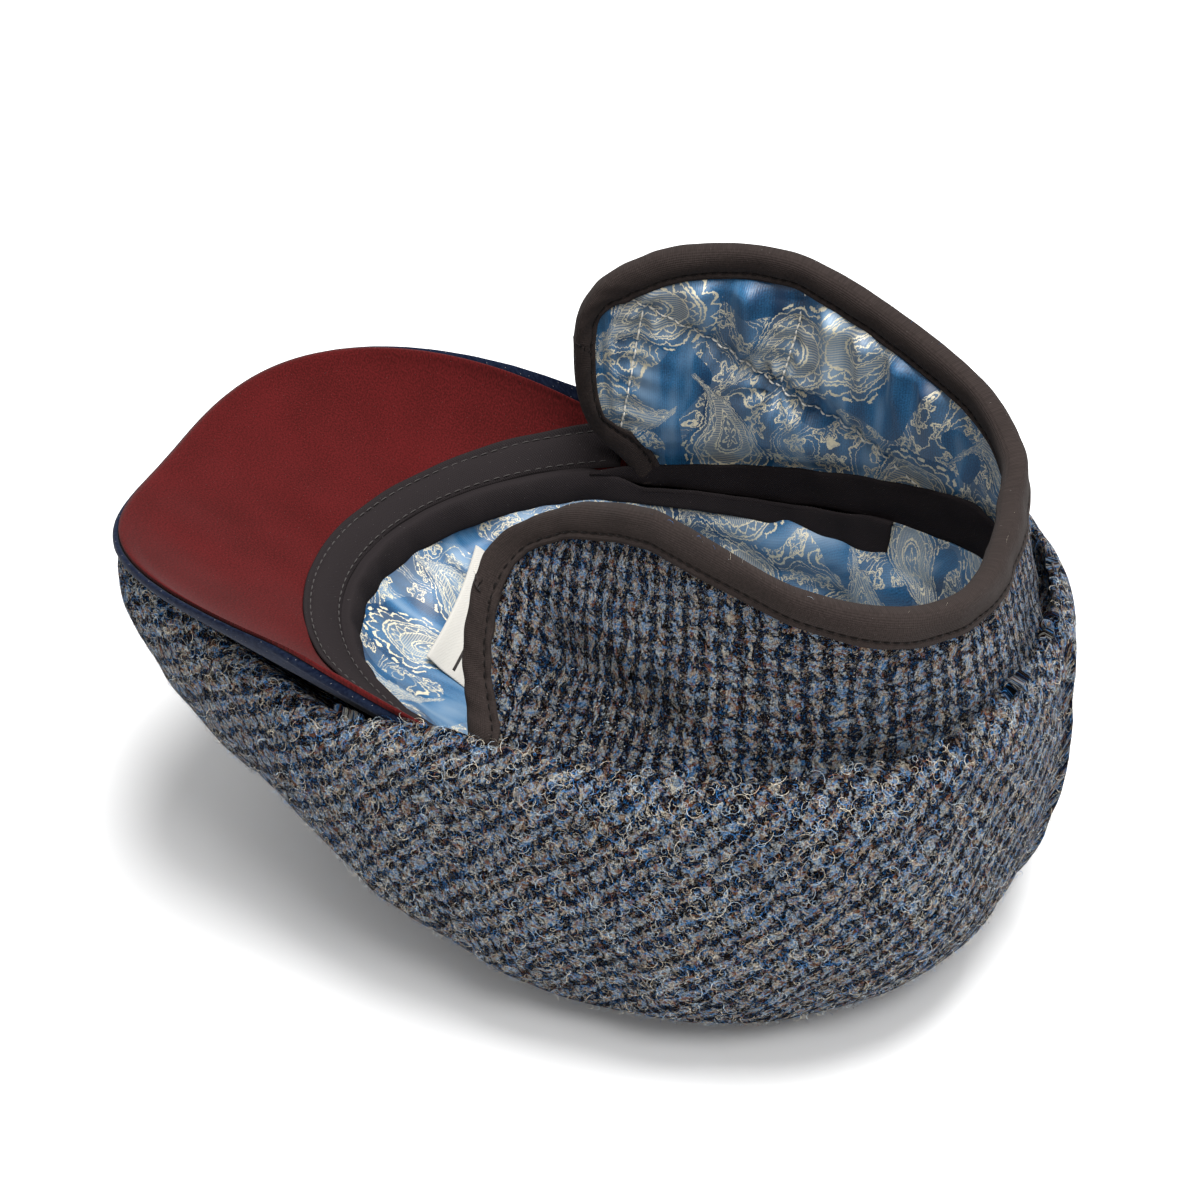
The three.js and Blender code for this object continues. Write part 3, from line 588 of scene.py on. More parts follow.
def crown_weave(plan, grid, fold):
    """Two side panels of tweed, cut on a slant and mirrored at the centre seam."""
    wide = np.stack([read(CROWN, "wideR", mirrored(plan)) * np.sin(np.radians(plan)),
                     read(CROWN, "wideR", mirrored(plan)) * np.cos(np.radians(plan))], -1)
    wide = np.concatenate([wide, wide[:1]])
    along = np.concatenate([[0], np.cumsum(np.linalg.norm(np.diff(wide, axis=0), axis=1))])
    half = along[-1] / 2
    steps = np.linalg.norm(np.diff(grid, axis=1), axis=-1)
    down = np.concatenate([np.zeros((len(grid), 1)), np.cumsum(steps, 1)], 1)
    down = down - down[:, fold:fold + 1]
    down = np.concatenate([down, down[:1]])
    slant = math.radians(CROWN_SLANT)
    strips = []
    for k in range(len(plan)):
        side = 1 if along[k] + 1e-6 < half else -1
        pair = []
        for edge in (k, k + 1):
            out = np.abs(along[edge] - half)
            u = out * math.cos(slant) + down[edge] * math.sin(slant)
            v = down[edge] * math.cos(slant) - out * math.sin(slant)
            pair.append(np.stack([side * u, v], -1))
        strips.append(pair)
    return np.array(strips)


def bowl_face(columns, steps, floor_rows):
    """Upper face of the hanging lining, from behind the band to the middle of its floor."""
    turn = np.linspace(0, 360, columns, endpoint=False)
    at = mirrored(turn)
    behind = 1 - smooth((at - BAND_END + BAND_FADE) / (BAND_FADE - 2))
    drop = read(BAND, "drop", at)
    tuck = mix(BOWL_EDGE["bare"] * BOWL_EDGE["share"], drop - 0.6, behind)
    top = mix(read(CREASE, "rise", at) - BOWL_EDGE["tuck"], 1.6 - drop, behind)
    row = {name: read(BOWL, name, at) for name in BOWL}
    edge = np.full_like(turn, BOWL_EDGE["inward"])
    inward = [edge, edge, row["puffIn"], row["midIn"], row["lowIn"]]
    up = [top, -tuck, -row["puffDown"], -row["midDown"], -row["lowDown"]]
    run = curve(np.stack([np.stack(inward, -1), np.stack(up, -1)], -1), steps)
    turns = turn[:, None] + 0 * run[..., 0]
    grid = flap_point(turns, run[..., 1], -run[..., 0], pushed=False)
    share = np.linspace(0, 1, floor_rows + 1)[1:, None]
    rim = grid[:, -1:]
    centre = np.array([0, BOWL_FLOOR["centre_y"], 0])
    floor = mix(rim, centre, share * 0.985)
    deepest = size("seam_height") - BOWL_FLOOR["depth"]
    floor[..., 2] = mix(rim[..., 2], deepest, 1 - (1 - share[None, :, 0]) ** 2)
    grid = np.concatenate([grid, floor], 1)
    grid = grid + normals(grid, True) * bowl_relief(grid, turns, run[..., 1])[..., None]
    return grid, bowl_weave(grid)


def quilt_lines(plan):
    """Distance from the nearest of two crossing families of quilting seams, on the cap's floor plan."""
    nearest = np.full(plan.shape[:-1], 1e3)
    for way in BOWL_QUILT["ways"]:
        place = plan @ np.array(way) + BOWL_QUILT["shift"]
        gap = np.abs((place + BOWL_QUILT["spacing"] / 2) % BOWL_QUILT["spacing"] - BOWL_QUILT["spacing"] / 2)
        nearest = np.minimum(nearest, gap)
    return nearest


def bowl_relief(grid, turn, depth):
    """Padded fields between quilting seams, soft lumps and single folds. Negative is up into the hollow."""
    gap = quilt_lines(grid[..., :2])
    down = size("seam_height") - grid[..., 2]
    free = smooth((down - 9) / 10)
    puff = 2.2 * (1 - np.exp(-(gap / 8) ** 2)) - 1.0
    lumps = 1.1 * ripple(grid, 34, 11) + 0.4 * ripple(grid, 13, 12)
    total = free * (puff + lumps) * off_label(grid)
    rows = depth.shape[1]
    place = np.stack([seam_length(turn), depth], -1)
    for turn_a, up_a, turn_b, up_b, rise, half in BOWL_FOLDS:
        a = np.array([seam_length(turn_a % 360), up_a])
        b = np.array([seam_length(turn_b % 360), up_b])
        near, _ = from_line(place, np.stack([a, b]))
        total[:, :rows] += rise * np.exp(-(near / half) ** 2)
    return -total


def label_axes(grid):
    """How far places in plan are along the label and across it."""
    turn = math.radians(LABEL["turn"])
    x, y = LABEL["corner"][0] - grid[..., 0], grid[..., 1] - LABEL["corner"][1]
    return x * math.cos(turn) + y * math.sin(turn), y * math.cos(turn) - x * math.sin(turn)


def off_label(grid):
    """0 under the label and 1 well away from it."""
    along, across = label_axes(grid)
    past = np.maximum(np.abs(along - LABEL["length"] / 2) - LABEL["length"] / 2,
                      np.abs(across - LABEL["width"] / 2) - LABEL["width"] / 2)
    return smooth((past + 1) / 9)


def bowl_weave(grid):
    """The satin spread from the middle of the bowl, so that the pattern is least stretched on its floor."""
    steps = np.linalg.norm(np.diff(grid, axis=1), axis=-1)
    reach = np.concatenate([np.cumsum(steps[:, ::-1], 1)[:, ::-1], np.zeros((len(grid), 1))], 1)
    way = np.arctan2(grid[:, 0, 0], -grid[:, 0, 1])[:, None]
    weave = np.stack([reach * np.sin(way), reach * np.cos(way)], -1)
    return spans(np.concatenate([weave, weave[:1]]))


def from_line(places, line):
    """Distance of places from a line of points, and the length along it to the nearest point."""
    nearest = np.full(places.shape[:-1], 1e9)
    reached = np.zeros(places.shape[:-1])
    start = 0.0
    for a, b in zip(line[:-1], line[1:]):
        run = b - a
        length = np.linalg.norm(run)
        t = np.clip((places - a) @ run / length ** 2, 0, 1)
        gap = np.linalg.norm(places - (a + t[..., None] * run), axis=-1)
        closer = gap < nearest
        nearest = np.where(closer, gap, nearest)
        reached = np.where(closer, start + t * length, reached)
        start += length
    return nearest, reached


def flap_rise(turn, height):
    """Inward reach, rise and lean of a flap at a height of its pattern, found by walking up the cloth."""
    base, tip = np.radians(read(LEAN, "base", turn)), np.radians(read(LEAN, "tip", turn))
    up_cloth = np.maximum(height, 0)

    def lean_at(place):
        return mix(base, tip, place / FLAP_SPAN) * smooth(place / FLAP_STAND)

    steps = 16
    inward, up = np.zeros_like(up_cloth), np.zeros_like(up_cloth)
    for k in range(steps):
        lean = lean_at((k + 0.5) * up_cloth / steps)
        inward += np.sin(lean) * up_cloth / steps
        up += np.cos(lean) * up_cloth / steps
    return inward, np.where(height > 0, up, height), np.where(height > 0, lean_at(up_cloth), 0)


def pushed_back(turn, height):
    """How far a place on the right flap is pushed back, as a turn round the seam."""
    near = 1 - smooth((turn - PUSH_FADE["from_turn"]) / PUSH_FADE["over_turn"])
    return np.where(turn < 180, read(PUSH, "back", height) * near / seam_speed(turn), 0)


def flap_point(turn, height, offset, pushed=True):
    """Places on a flap: turn round the seam, height up the cloth, and offset to its outer side."""
    inward, up, tilt = flap_rise(turn, height)
    back = pushed_back(turn, height) if pushed else 0
    plan = seam_point(turn + back, offset * np.cos(tilt) - inward)
    return np.concatenate([plan, (size("seam_height") + up + offset * np.sin(tilt))[..., None]], -1)


def flap_turns(columns):
    """Turns at which a flap is sampled, close together round its two front ends."""
    start = FLAP_FRONT + FLAP_SETBACK / seam_speed(FLAP_FRONT)
    half = mix(start, 180, np.linspace(0, 1, columns // 2) ** 1.6)
    return np.concatenate([half, 360 - half[-2::-1]])


def flap_panel(offset, columns, rows, lowest):
    """Turn and height of each point of a flap panel, set back inside the binding."""
    turn = flap_turns(columns)
    at = mirrored(turn)
    setback = FLAP_SETBACK / seam_speed(FLAP_FRONT)
    stretch = np.clip((at - FLAP_FRONT - setback) / (FLAP_ATTACHED - FLAP_FRONT - setback), 0, 1)
    outline = np.where(at < FLAP_ATTACHED, mix(FLAP_FRONT, FLAP_ATTACHED, stretch), at)
    low = read(FLAP, "low", outline) + FLAP_SETBACK * (1 - smooth((at - 60) / 4))
    low = np.maximum(low, lowest(at))
    top = read(FLAP, "top", outline) - FLAP_SETBACK
    share = np.linspace(0, 1, rows)[None, :] ** 1.15
    height = mix(low[:, None], top[:, None], share)
    turn = turn[:, None] + 0 * height
    return turn, height, offset + 0 * height


def flap_dents(turn, height):
    """Soft lumps of the flap band, and the dent low on the right flap. Positive is outward."""
    place = np.stack([seam_length(turn), height], -1)
    lumps = 0.7 * ripple(place, 40, 21) + 0.3 * ripple(place, 15, 22)
    dent_a, _ = from_line(place, np.array([[seam_length(75), 33.0], [seam_length(98), 22.0]]))
    dent = -8.0 * np.exp(-(dent_a / 10) ** 2)
    return lumps * smooth(height / 10) + np.where(turn < 180, dent, 0)


def inside_fold(at):
    """Lowest height of the flaps' tweed."""
    return np.full_like(at, FLAP_LOW)


def above_crease(at):
    """Lowest height of the flaps' satin."""
    return np.maximum(0.8, read(CREASE, "rise", at))


def flap_weave(turn, height):
    return spans(np.stack([seam_length(turn), height], -1))


def flap_tweed():
    """Outer and inner face of the flaps' tweed, and its weave."""
    turn, height, offset = flap_panel(CLOTH["tweed"], *FLAP_TWEED_GRID, inside_fold)
    offset = offset + flap_dents(turn, height)
    outer = flap_point(turn, height, offset)
    inner = flap_point(turn, height, offset - CLOTH["tweed"])
    return outer, inner, flap_weave(turn, height)


def satin_relief(turn, height):
    """Padded satin between its quilting seams, gathered along them and puckered at their meeting point."""
    left = np.where(turn > 180, turn, 360 - turn)
    place = np.stack([seam_length(left), height], -1)
    puff = np.full(turn.shape, 1e3)
    gathers = np.zeros(turn.shape)
    for line in QUILTING:
        points = np.array([(seam_length(t), h) for t, h in line])
        gap, along = from_line(place, points)
        gathers += 1.2 * np.sin(2 * math.pi * along / 6.5 + 0.8 * np.sin(along / 9)) * np.exp(-gap / 5.5)
        puff = np.minimum(puff, gap)
    padding = 1 - np.exp(-(puff / 5.2) ** 1.5)
    knot = place - np.array([seam_length(QUILT_KNOT[0]), QUILT_KNOT[1]])
    reach = np.linalg.norm(knot, axis=-1)
    way = np.arctan2(knot[..., 1], knot[..., 0])
    pucker = 2.6 * np.cos(9 * way + 0.6 * np.sin(2 * way)) * np.exp(-reach / 11) * smooth(reach / 5)
    drape = 2.2 * np.sin(2 * math.pi * place[..., 0] / 14 + 1.6 * np.sin(place[..., 0] / 21))
    drape = drape * smooth((height - 30) / 18) * padding
    lumps = 0.8 * ripple(place, 24, 31)
    quilted = smooth((left - 226) / 12)
    relief = quilted * (size("puff") * padding + gathers + pucker + drape) + lumps * padding
    above_tape = smooth((height - read(TAPE, "high", mirrored(turn)) + 1) / 12)
    return relief * above_tape * smooth((from_edge(turn, height) - 8) / 5) - 0.4


def from_edge(turn, height):
    """Distance of a place on the flaps from their free edge, roughly."""
    at = mirrored(turn)
    front = np.interp(height, [row[1] for row in FRONT_EDGE], [row[0] for row in FRONT_EDGE])
    return np.minimum(read(FLAP, "top", at) - height, (at - front) * seam_speed(at))


def free_edge():
    """Free edge of the flaps from one end inside the crown's fold to the other, as turn and height."""
    corners = np.array([(turn * EDGE_SPEED, height) for turn, height in FRONT_EDGE])
    half = curve(corners, 12)
    top = FLAP_FRONT + (180 - FLAP_FRONT) * np.linspace(0, 1, 170)[1:] ** 1.7
    half = np.concatenate([half / np.array([EDGE_SPEED, 1]), np.stack([top, read(FLAP, "top", top)], -1)])
    other = half[-2::-1] * np.array([-1, 1]) + np.array([360, 0])
    return np.concatenate([half, other])


def edge_frames():
    """Stations of the free edge, its inward direction on the pattern at each, and the length along it."""
    edge = free_edge()
    speed = seam_speed(edge[:, 0])
    run = np.gradient(edge, axis=0) * np.stack([speed, np.ones(len(edge))], -1)
    length = np.linalg.norm(run, axis=1)
    inward = np.stack([run[:, 1] / length, -run[:, 0] / length], -1)
    steps = np.linalg.norm(np.diff(edge, axis=0) * np.stack([speed[1:], np.ones(len(edge) - 1)], -1), axis=1)
    return edge, inward, np.concatenate([[0], np.cumsum(steps)])


def binding_place(edge, inward, depth):
    """Turn and height of places at a depth inside the free edge."""
    speed = seam_speed(edge[:, 0])
    return edge[:, 0] + inward[:, 0] * depth / speed, edge[:, 1] + inward[:, 1] * depth


def binding_drag(along, depth, turn):
    """Slanting drag wrinkles of the bias binding, strongest where it bends round the front ends."""
    front = np.exp(-((mirrored(turn) - 57) / 9) ** 2)
    strength = 0.04 + 0.20 * front
    slant = along + 1.3 * depth
    return strength * np.sin(2 * math.pi * slant / 8.5 + 1.4 * np.sin(along / 17))


def peak_rise(x, y):
    """Height of the peak's upper face above the seam, at a place in plan."""
    across = np.clip(np.abs(x) / size("seam_half_width"), 0, np.where(x > 0, PEAK["side_limit"], 1))
    return math.tan(math.radians(PEAK["slope"])) * (-y - size("seam_half_length") * np.sqrt(1 - across ** 2))


def peak_point(across, out, inset, below):
    """Places on the peak between its root on the seam and its outline, moved below its upper face."""
    root = seam_point(mix(-PEAK["root_turn"], PEAK["root_turn"], across), PEAK_SIDES["root_gap"])
    angle = math.pi * across
    power = 2 / PEAK["fullness"]
    edge_x = -(PEAK["half_width"] - inset) * np.sign(np.cos(angle)) * np.abs(np.cos(angle)) ** power
    edge_y = -PEAK["side_forward"] - (PEAK["reach"] - inset) * np.sin(angle) ** power
    x, y = mix(root[..., 0], edge_x, out), mix(root[..., 1], edge_y, out)
    return np.stack([x, y, size("seam_height") + peak_rise(x, y) - below], -1)


def peak_stations(columns):
    """Shares of the way round the peak, closer together at its two front corners."""
    even = np.linspace(0, 1, columns)
    return even + 0.045 * np.sin(4 * math.pi * even)


def feed(tree, node, inputs):
    """Gives a node's inputs sockets to link or values to hold."""
    pairs = inputs.items() if isinstance(inputs, dict) else enumerate(inputs)
    for name, value in pairs:
        if isinstance(value, bpy.types.NodeSocket):
            tree.links.new(value, node.inputs[name])
        elif value is not None:
            node.inputs[name].default_value = value


def add(tree, kind, settings=None, inputs=()):
    """Adds one node, sets its properties and feeds its inputs."""
    node = tree.nodes.new(kind)
    for name, value in (settings or {}).items():
        if name == "stops":
            ramp = node.color_ramp
            while len(ramp.elements) < len(value):
                ramp.elements.new(0.5)
            for element, (place, shade) in zip(ramp.elements, value):
                element.position = place
                element.color = colour(shade)
        else:
            setattr(node, name, value)
    feed(tree, node, inputs)
    return node


def new_material(name):
    """An empty material with its shader, and the place in the cloth in millimetres."""
    material = bpy.data.materials.new(name)
    material.use_nodes = True
    tree = material.node_tree
    shader = next(node for node in tree.nodes if node.type == "BSDF_PRINCIPLED")
    weave = add(tree, "ShaderNodeUVMap", {"uv_map": "weave"}).outputs["UV"]
    return material, tree, shader, weave


def tweed_fields(tree, weave):
    """Noise fields of the tweed, each taken from its own part of the cloth."""
    noises = {
        # name: lumps for each millimetre, detail, roughness, distortion
        "drift": (0.13, 1, 0.5, 0.0), "waver": (0.75, 2, 0.6, 0.6), "fibre": (1.35, 5, 0.72, 1.0),
        "curl_white": (0.62, 1, 0.5, 1.6), "curl_blue": (0.50, 1, 0.5, 2.0), "broken": (0.9, 1, 0.5, 0.0),
        "cloud": (0.035, 2, 0.5, 0.0),
    }
    known = {}
    for k, (name, (scale, detail, rough, bent)) in enumerate(noises.items()):
        place = add(tree, "ShaderNodeVectorMath", {"operation": "ADD"}, [weave, (37.0 * k, 19.0 * k, 0)])
        field = add(tree, "ShaderNodeTexNoise", {"noise_dimensions": "2D"},
                    {"Vector": place.outputs[0], "Scale": scale, "Detail": detail, "Roughness": rough,
                     "Distortion": bent})
        known[name] = field.outputs["Fac"]
        known[name + "_pair"] = field.outputs["Color"]
    return known


def tweed_check(tree, weave, known):
    """Threads of the check: how dark each place is, with painted shade in the dark warp columns, which thread
    lies on top, and the tone of each yarn.
    """
    drifted = add(tree, "ShaderNodeVectorMath", {"operation": "MULTIPLY_ADD"},
                  [known["drift_pair"], (5.0, 5.0, 0), weave])
    strayed = add(tree, "ShaderNodeVectorMath", {"operation": "MULTIPLY_ADD"},
                  [known["waver_pair"], (1.5, 1.5, 0), drifted.outputs[0]])
    threads = add(tree, "ShaderNodeVectorMath", {"operation": "SCALE"},
                  {0: strayed.outputs[0], "Scale": 1 / size("thread")})
    split = add(tree, "ShaderNodeSeparateXYZ", None, [threads.outputs[0]])
    known["x"], known["y"] = split.outputs["X"], split.outputs["Y"]
    steps = (
        ("column", "FLOOR", "x"), ("row", "FLOOR", "y"),
        ("warp_place", "FLOORED_MODULO", "column", 8), ("weft_place", "FLOORED_MODULO", "row", 8),
        ("warp_dark", "LESS_THAN", "warp_place", 4), ("weft_dark", "LESS_THAN", "weft_place", 4),
        ("diagonal", "ADD", "column", "row"), ("twill", "FLOORED_MODULO", "diagonal", 4),
        ("warp_up", "LESS_THAN", "twill", 2), ("weft_up", "SUBTRACT", 1, "warp_up"),
        ("from_warp", "MULTIPLY", "warp_dark", "warp_up"),
        ("from_weft", "MULTIPLY", "weft_dark", "weft_up"),
        # Painted shade: the dark warp columns are darkened also where a light weft lies on top
        ("both_dark", "ADD", "from_warp", "from_weft"), ("column_dark", "MULTIPLY", "warp_dark", 0.34),
        ("dark", "MULTIPLY_ADD", "both_dark", 0.70, "column_dark"),
        ("warp_number", "MULTIPLY", "column", 13.7), ("weft_number", "MULTIPLY", "row", 11.3),
        ("warp_run", "MULTIPLY", "y", 0.16), ("weft_run", "MULTIPLY", "x", 0.16),
    )
    for name, operation, *values in steps:
        known[name] = add(tree, "ShaderNodeMath", {"operation": operation},
                          [known.get(value, value) for value in values]).outputs[0]
    tones = (("warp_tone", "warp_number", "warp_run"), ("weft_tone", "weft_run", "weft_number"))
    for name, *ends in tones:
        place = add(tree, "ShaderNodeCombineXYZ", None, [known[end] for end in ends])
        known[name] = add(tree, "ShaderNodeTexNoise", {"noise_dimensions": "2D"},
                          {"Vector": place.outputs[0], "Scale": 1.0, "Detail": 1.5}).outputs["Fac"]


# Tweed: woollen yarns of mixed colour in a four-and-four check, milled and brushed. The eye sees dark teeth
# on blue and cream, blurred by curled fibre. Fine fibre noise also paints shade into the crevices between
# yarn blobs
def tweed_material():
    material, tree, shader, weave = new_material("woollen_tweed")
    known = tweed_fields(tree, weave)
    tweed_check(tree, weave, known)
    yarn = add(tree, "ShaderNodeMix", {"data_type": "FLOAT"},
               {0: known["warp_up"], 2: known["weft_tone"], 3: known["warp_tone"]})
    light = add(tree, "ShaderNodeValToRGB", {"stops": (
        (0.30, "tweed_rust"), (0.37, "tweed_cream"), (0.42, "tweed_rust"),
        (0.46, "tweed_sky"), (0.495, "tweed_blue"), (0.53, "tweed_sky"),
        (0.57, "tweed_cream"), (0.61, "tweed_grey"), (0.65, "tweed_sky"),
        (0.72, "tweed_rust"))}, [yarn.outputs[0]])
    dark = add(tree, "ShaderNodeValToRGB", {"stops": (
        (0.34, "tweed_bark"), (0.43, "tweed_night"), (0.49, "tweed_navy"),
        (0.55, "tweed_bark"), (0.61, "tweed_night"))}, [yarn.outputs[0]])
    steps = (
        # Painted shade: where the fine fibre noise is low the colour goes to the dark yarns, as mixed yarn
        # and as shade in the crevices between yarn blobs
        ("speckle", "MULTIPLY_ADD", "fibre", 7.0, -3.5), ("body", "MULTIPLY_ADD", "dark", 1.7, 0.22),
        ("clouded", "MULTIPLY_ADD", "cloud", 0.5, -0.25), ("patchy", "ADD", "body", "clouded"),
        ("share", "SUBTRACT", "patchy", "speckle"),
        ("white_off", "SUBTRACT", "curl_white", 0.5), ("white_gap", "ABSOLUTE", "white_off"),
        ("white_line", "LESS_THAN", "white_gap", 0.018),
        ("blue_off", "SUBTRACT", "curl_blue", 0.48), ("blue_gap", "ABSOLUTE", "blue_off"),
        ("blue_line", "LESS_THAN", "blue_gap", 0.017), ("break_a", "GREATER_THAN", "broken", 0.49),
        ("break_b", "LESS_THAN", "broken", 0.51), ("white_curl", "MULTIPLY", "white_line", "break_a"),
        ("blue_curl", "MULTIPLY", "blue_line", "break_b"), ("white_share", "MULTIPLY", "white_curl", 0.6),
        ("blue_share", "MULTIPLY", "blue_curl", 0.75), ("curls", "ADD", "white_curl", "blue_curl"),
        ("pile", "SUBTRACT", "speckle", "dark"), ("height", "ADD", "pile", "curls"),
    )
    for name, operation, *values in steps:
        known[name] = add(tree, "ShaderNodeMath", {"operation": operation, "use_clamp": name == "share"},
                          [known.get(value, value) for value in values]).outputs[0]
    cloth = add(tree, "ShaderNodeMix", {"data_type": "RGBA"},
                {0: known["share"], 6: light.outputs["Color"], 7: dark.outputs["Color"]})
    with_blue = add(tree, "ShaderNodeMix", {"data_type": "RGBA"},
                    {0: known["blue_share"], 6: cloth.outputs[2], 7: colour("tweed_blue")})
    with_white = add(tree, "ShaderNodeMix", {"data_type": "RGBA"},
                     {0: known["white_share"], 6: with_blue.outputs[2], 7: colour("fibre_white")})
    bump = add(tree, "ShaderNodeBump", None, {"Strength": 1.0, "Distance": 0.0016, "Height": known["height"]})
    feed(tree, shader, {"Base Color": with_white.outputs[2], "Normal": bump.outputs["Normal"],
                        "Roughness": 0.95, "Specular IOR Level": 0.02})
    return material


# Loose wool: single fibres combed up from the yarns, fine and pale, so each one catches the light
def fibre_material():
    material, tree, shader, weave = new_material("loose_wool")
    split = add(tree, "ShaderNodeSeparateXYZ", None, [weave])
    tint = add(tree, "ShaderNodeValToRGB", {"stops": (
        (0.0, "fibre_white"), (0.07, "tweed_cream"), (0.34, "tweed_sky"),
        (0.50, "tweed_blue"), (0.66, "tweed_grey"), (0.72, "tweed_rust"),
        (0.80, "tweed_night"))}, [split.outputs["X"]])
    tint.color_ramp.interpolation = "CONSTANT"
    feed(tree, shader, {"Base Color": tint.outputs["Color"], "Roughness": 0.6, "Specular IOR Level": 0.15})
    return material


def satin_places(tree, weave):
    """Places within each drop and flower, and the noise fields between them, one of them the stretched bands
    of painted sheen and fold shade.
    """
    motif = add(tree, "ShaderNodeVectorMath", {"operation": "SCALE"}, {0: weave, "Scale": 1 / DROP_SPACING})
    sway = add(tree, "ShaderNodeTexNoise", {"noise_dimensions": "2D"},
               {"Vector": motif.outputs[0], "Scale": 2.2, "Detail": 1})
    swayed = add(tree, "ShaderNodeVectorMath", {"operation": "MULTIPLY_ADD"},
                 [sway.outputs["Color"], (0.09, 0.09, 0), motif.outputs[0]])
    jag = add(tree, "ShaderNodeTexNoise", {"noise_dimensions": "2D"},
              {"Vector": weave, "Scale": 1.1, "Detail": 2})
    drawn = add(tree, "ShaderNodeVectorMath", {"operation": "MULTIPLY_ADD"},
                [jag.outputs["Color"], (0.030, 0.030, 0), swayed.outputs[0]])
    # Stretched place for the long bands of painted sheen and fold shade
    sheen = add(tree, "ShaderNodeVectorMath", {"operation": "MULTIPLY"}, [weave, (0.085, 0.022, 0)])
    known = {"tau": 2 * math.pi}
    for name, scale, spread in (("drop", 1.0, 0.55), ("rose", 4.4, 0.7)):
        place = add(tree, "ShaderNodeVectorMath", {"operation": "SCALE"},
                    {0: drawn.outputs[0], "Scale": scale})
        cells = add(tree, "ShaderNodeTexVoronoi", {"voronoi_dimensions": "2D"},
                    {"Vector": place.outputs[0], "Scale": 1.0, "Randomness": spread})
        local = add(tree, "ShaderNodeVectorMath", {"operation": "SUBTRACT"},
                    [place.outputs[0], cells.outputs["Position"]])
        draw = add(tree, "ShaderNodeSeparateColor", None, [cells.outputs["Color"]])
        angle = add(tree, "ShaderNodeMath", {"operation": "MULTIPLY"}, [draw.outputs[0], known["tau"]])
        turned = add(tree, "ShaderNodeVectorRotate", {"rotation_type": "Z_AXIS"},
                     {"Vector": local.outputs[0], "Angle": angle.outputs[0]})
        split = add(tree, "ShaderNodeSeparateXYZ", None, [turned.outputs[0]])
        known[name + "_x"], known[name + "_y"] = split.outputs["X"], split.outputs["Y"]
        known[name + "_draw"] = draw.outputs[1]
    fields = (("vine", drawn.outputs[0], 1.7, 1.0), ("patch", motif.outputs[0], 1.5, 1.0),
              ("worn", weave, 0.9, 2.0), ("float", weave, 2.2, 2.0), ("shade", sheen.outputs[0], 1.0, 2.0))
    for name, source, scale, detail in fields:
        known[name] = add(tree, "ShaderNodeTexNoise", {"noise_dimensions": "2D"},
                          {"Vector": source, "Scale": scale, "Detail": detail}).outputs["Fac"]
    threads = add(tree, "ShaderNodeSeparateXYZ", None, [weave])
    known["u"], known["v"] = threads.outputs["X"], threads.outputs["Y"]
    return known


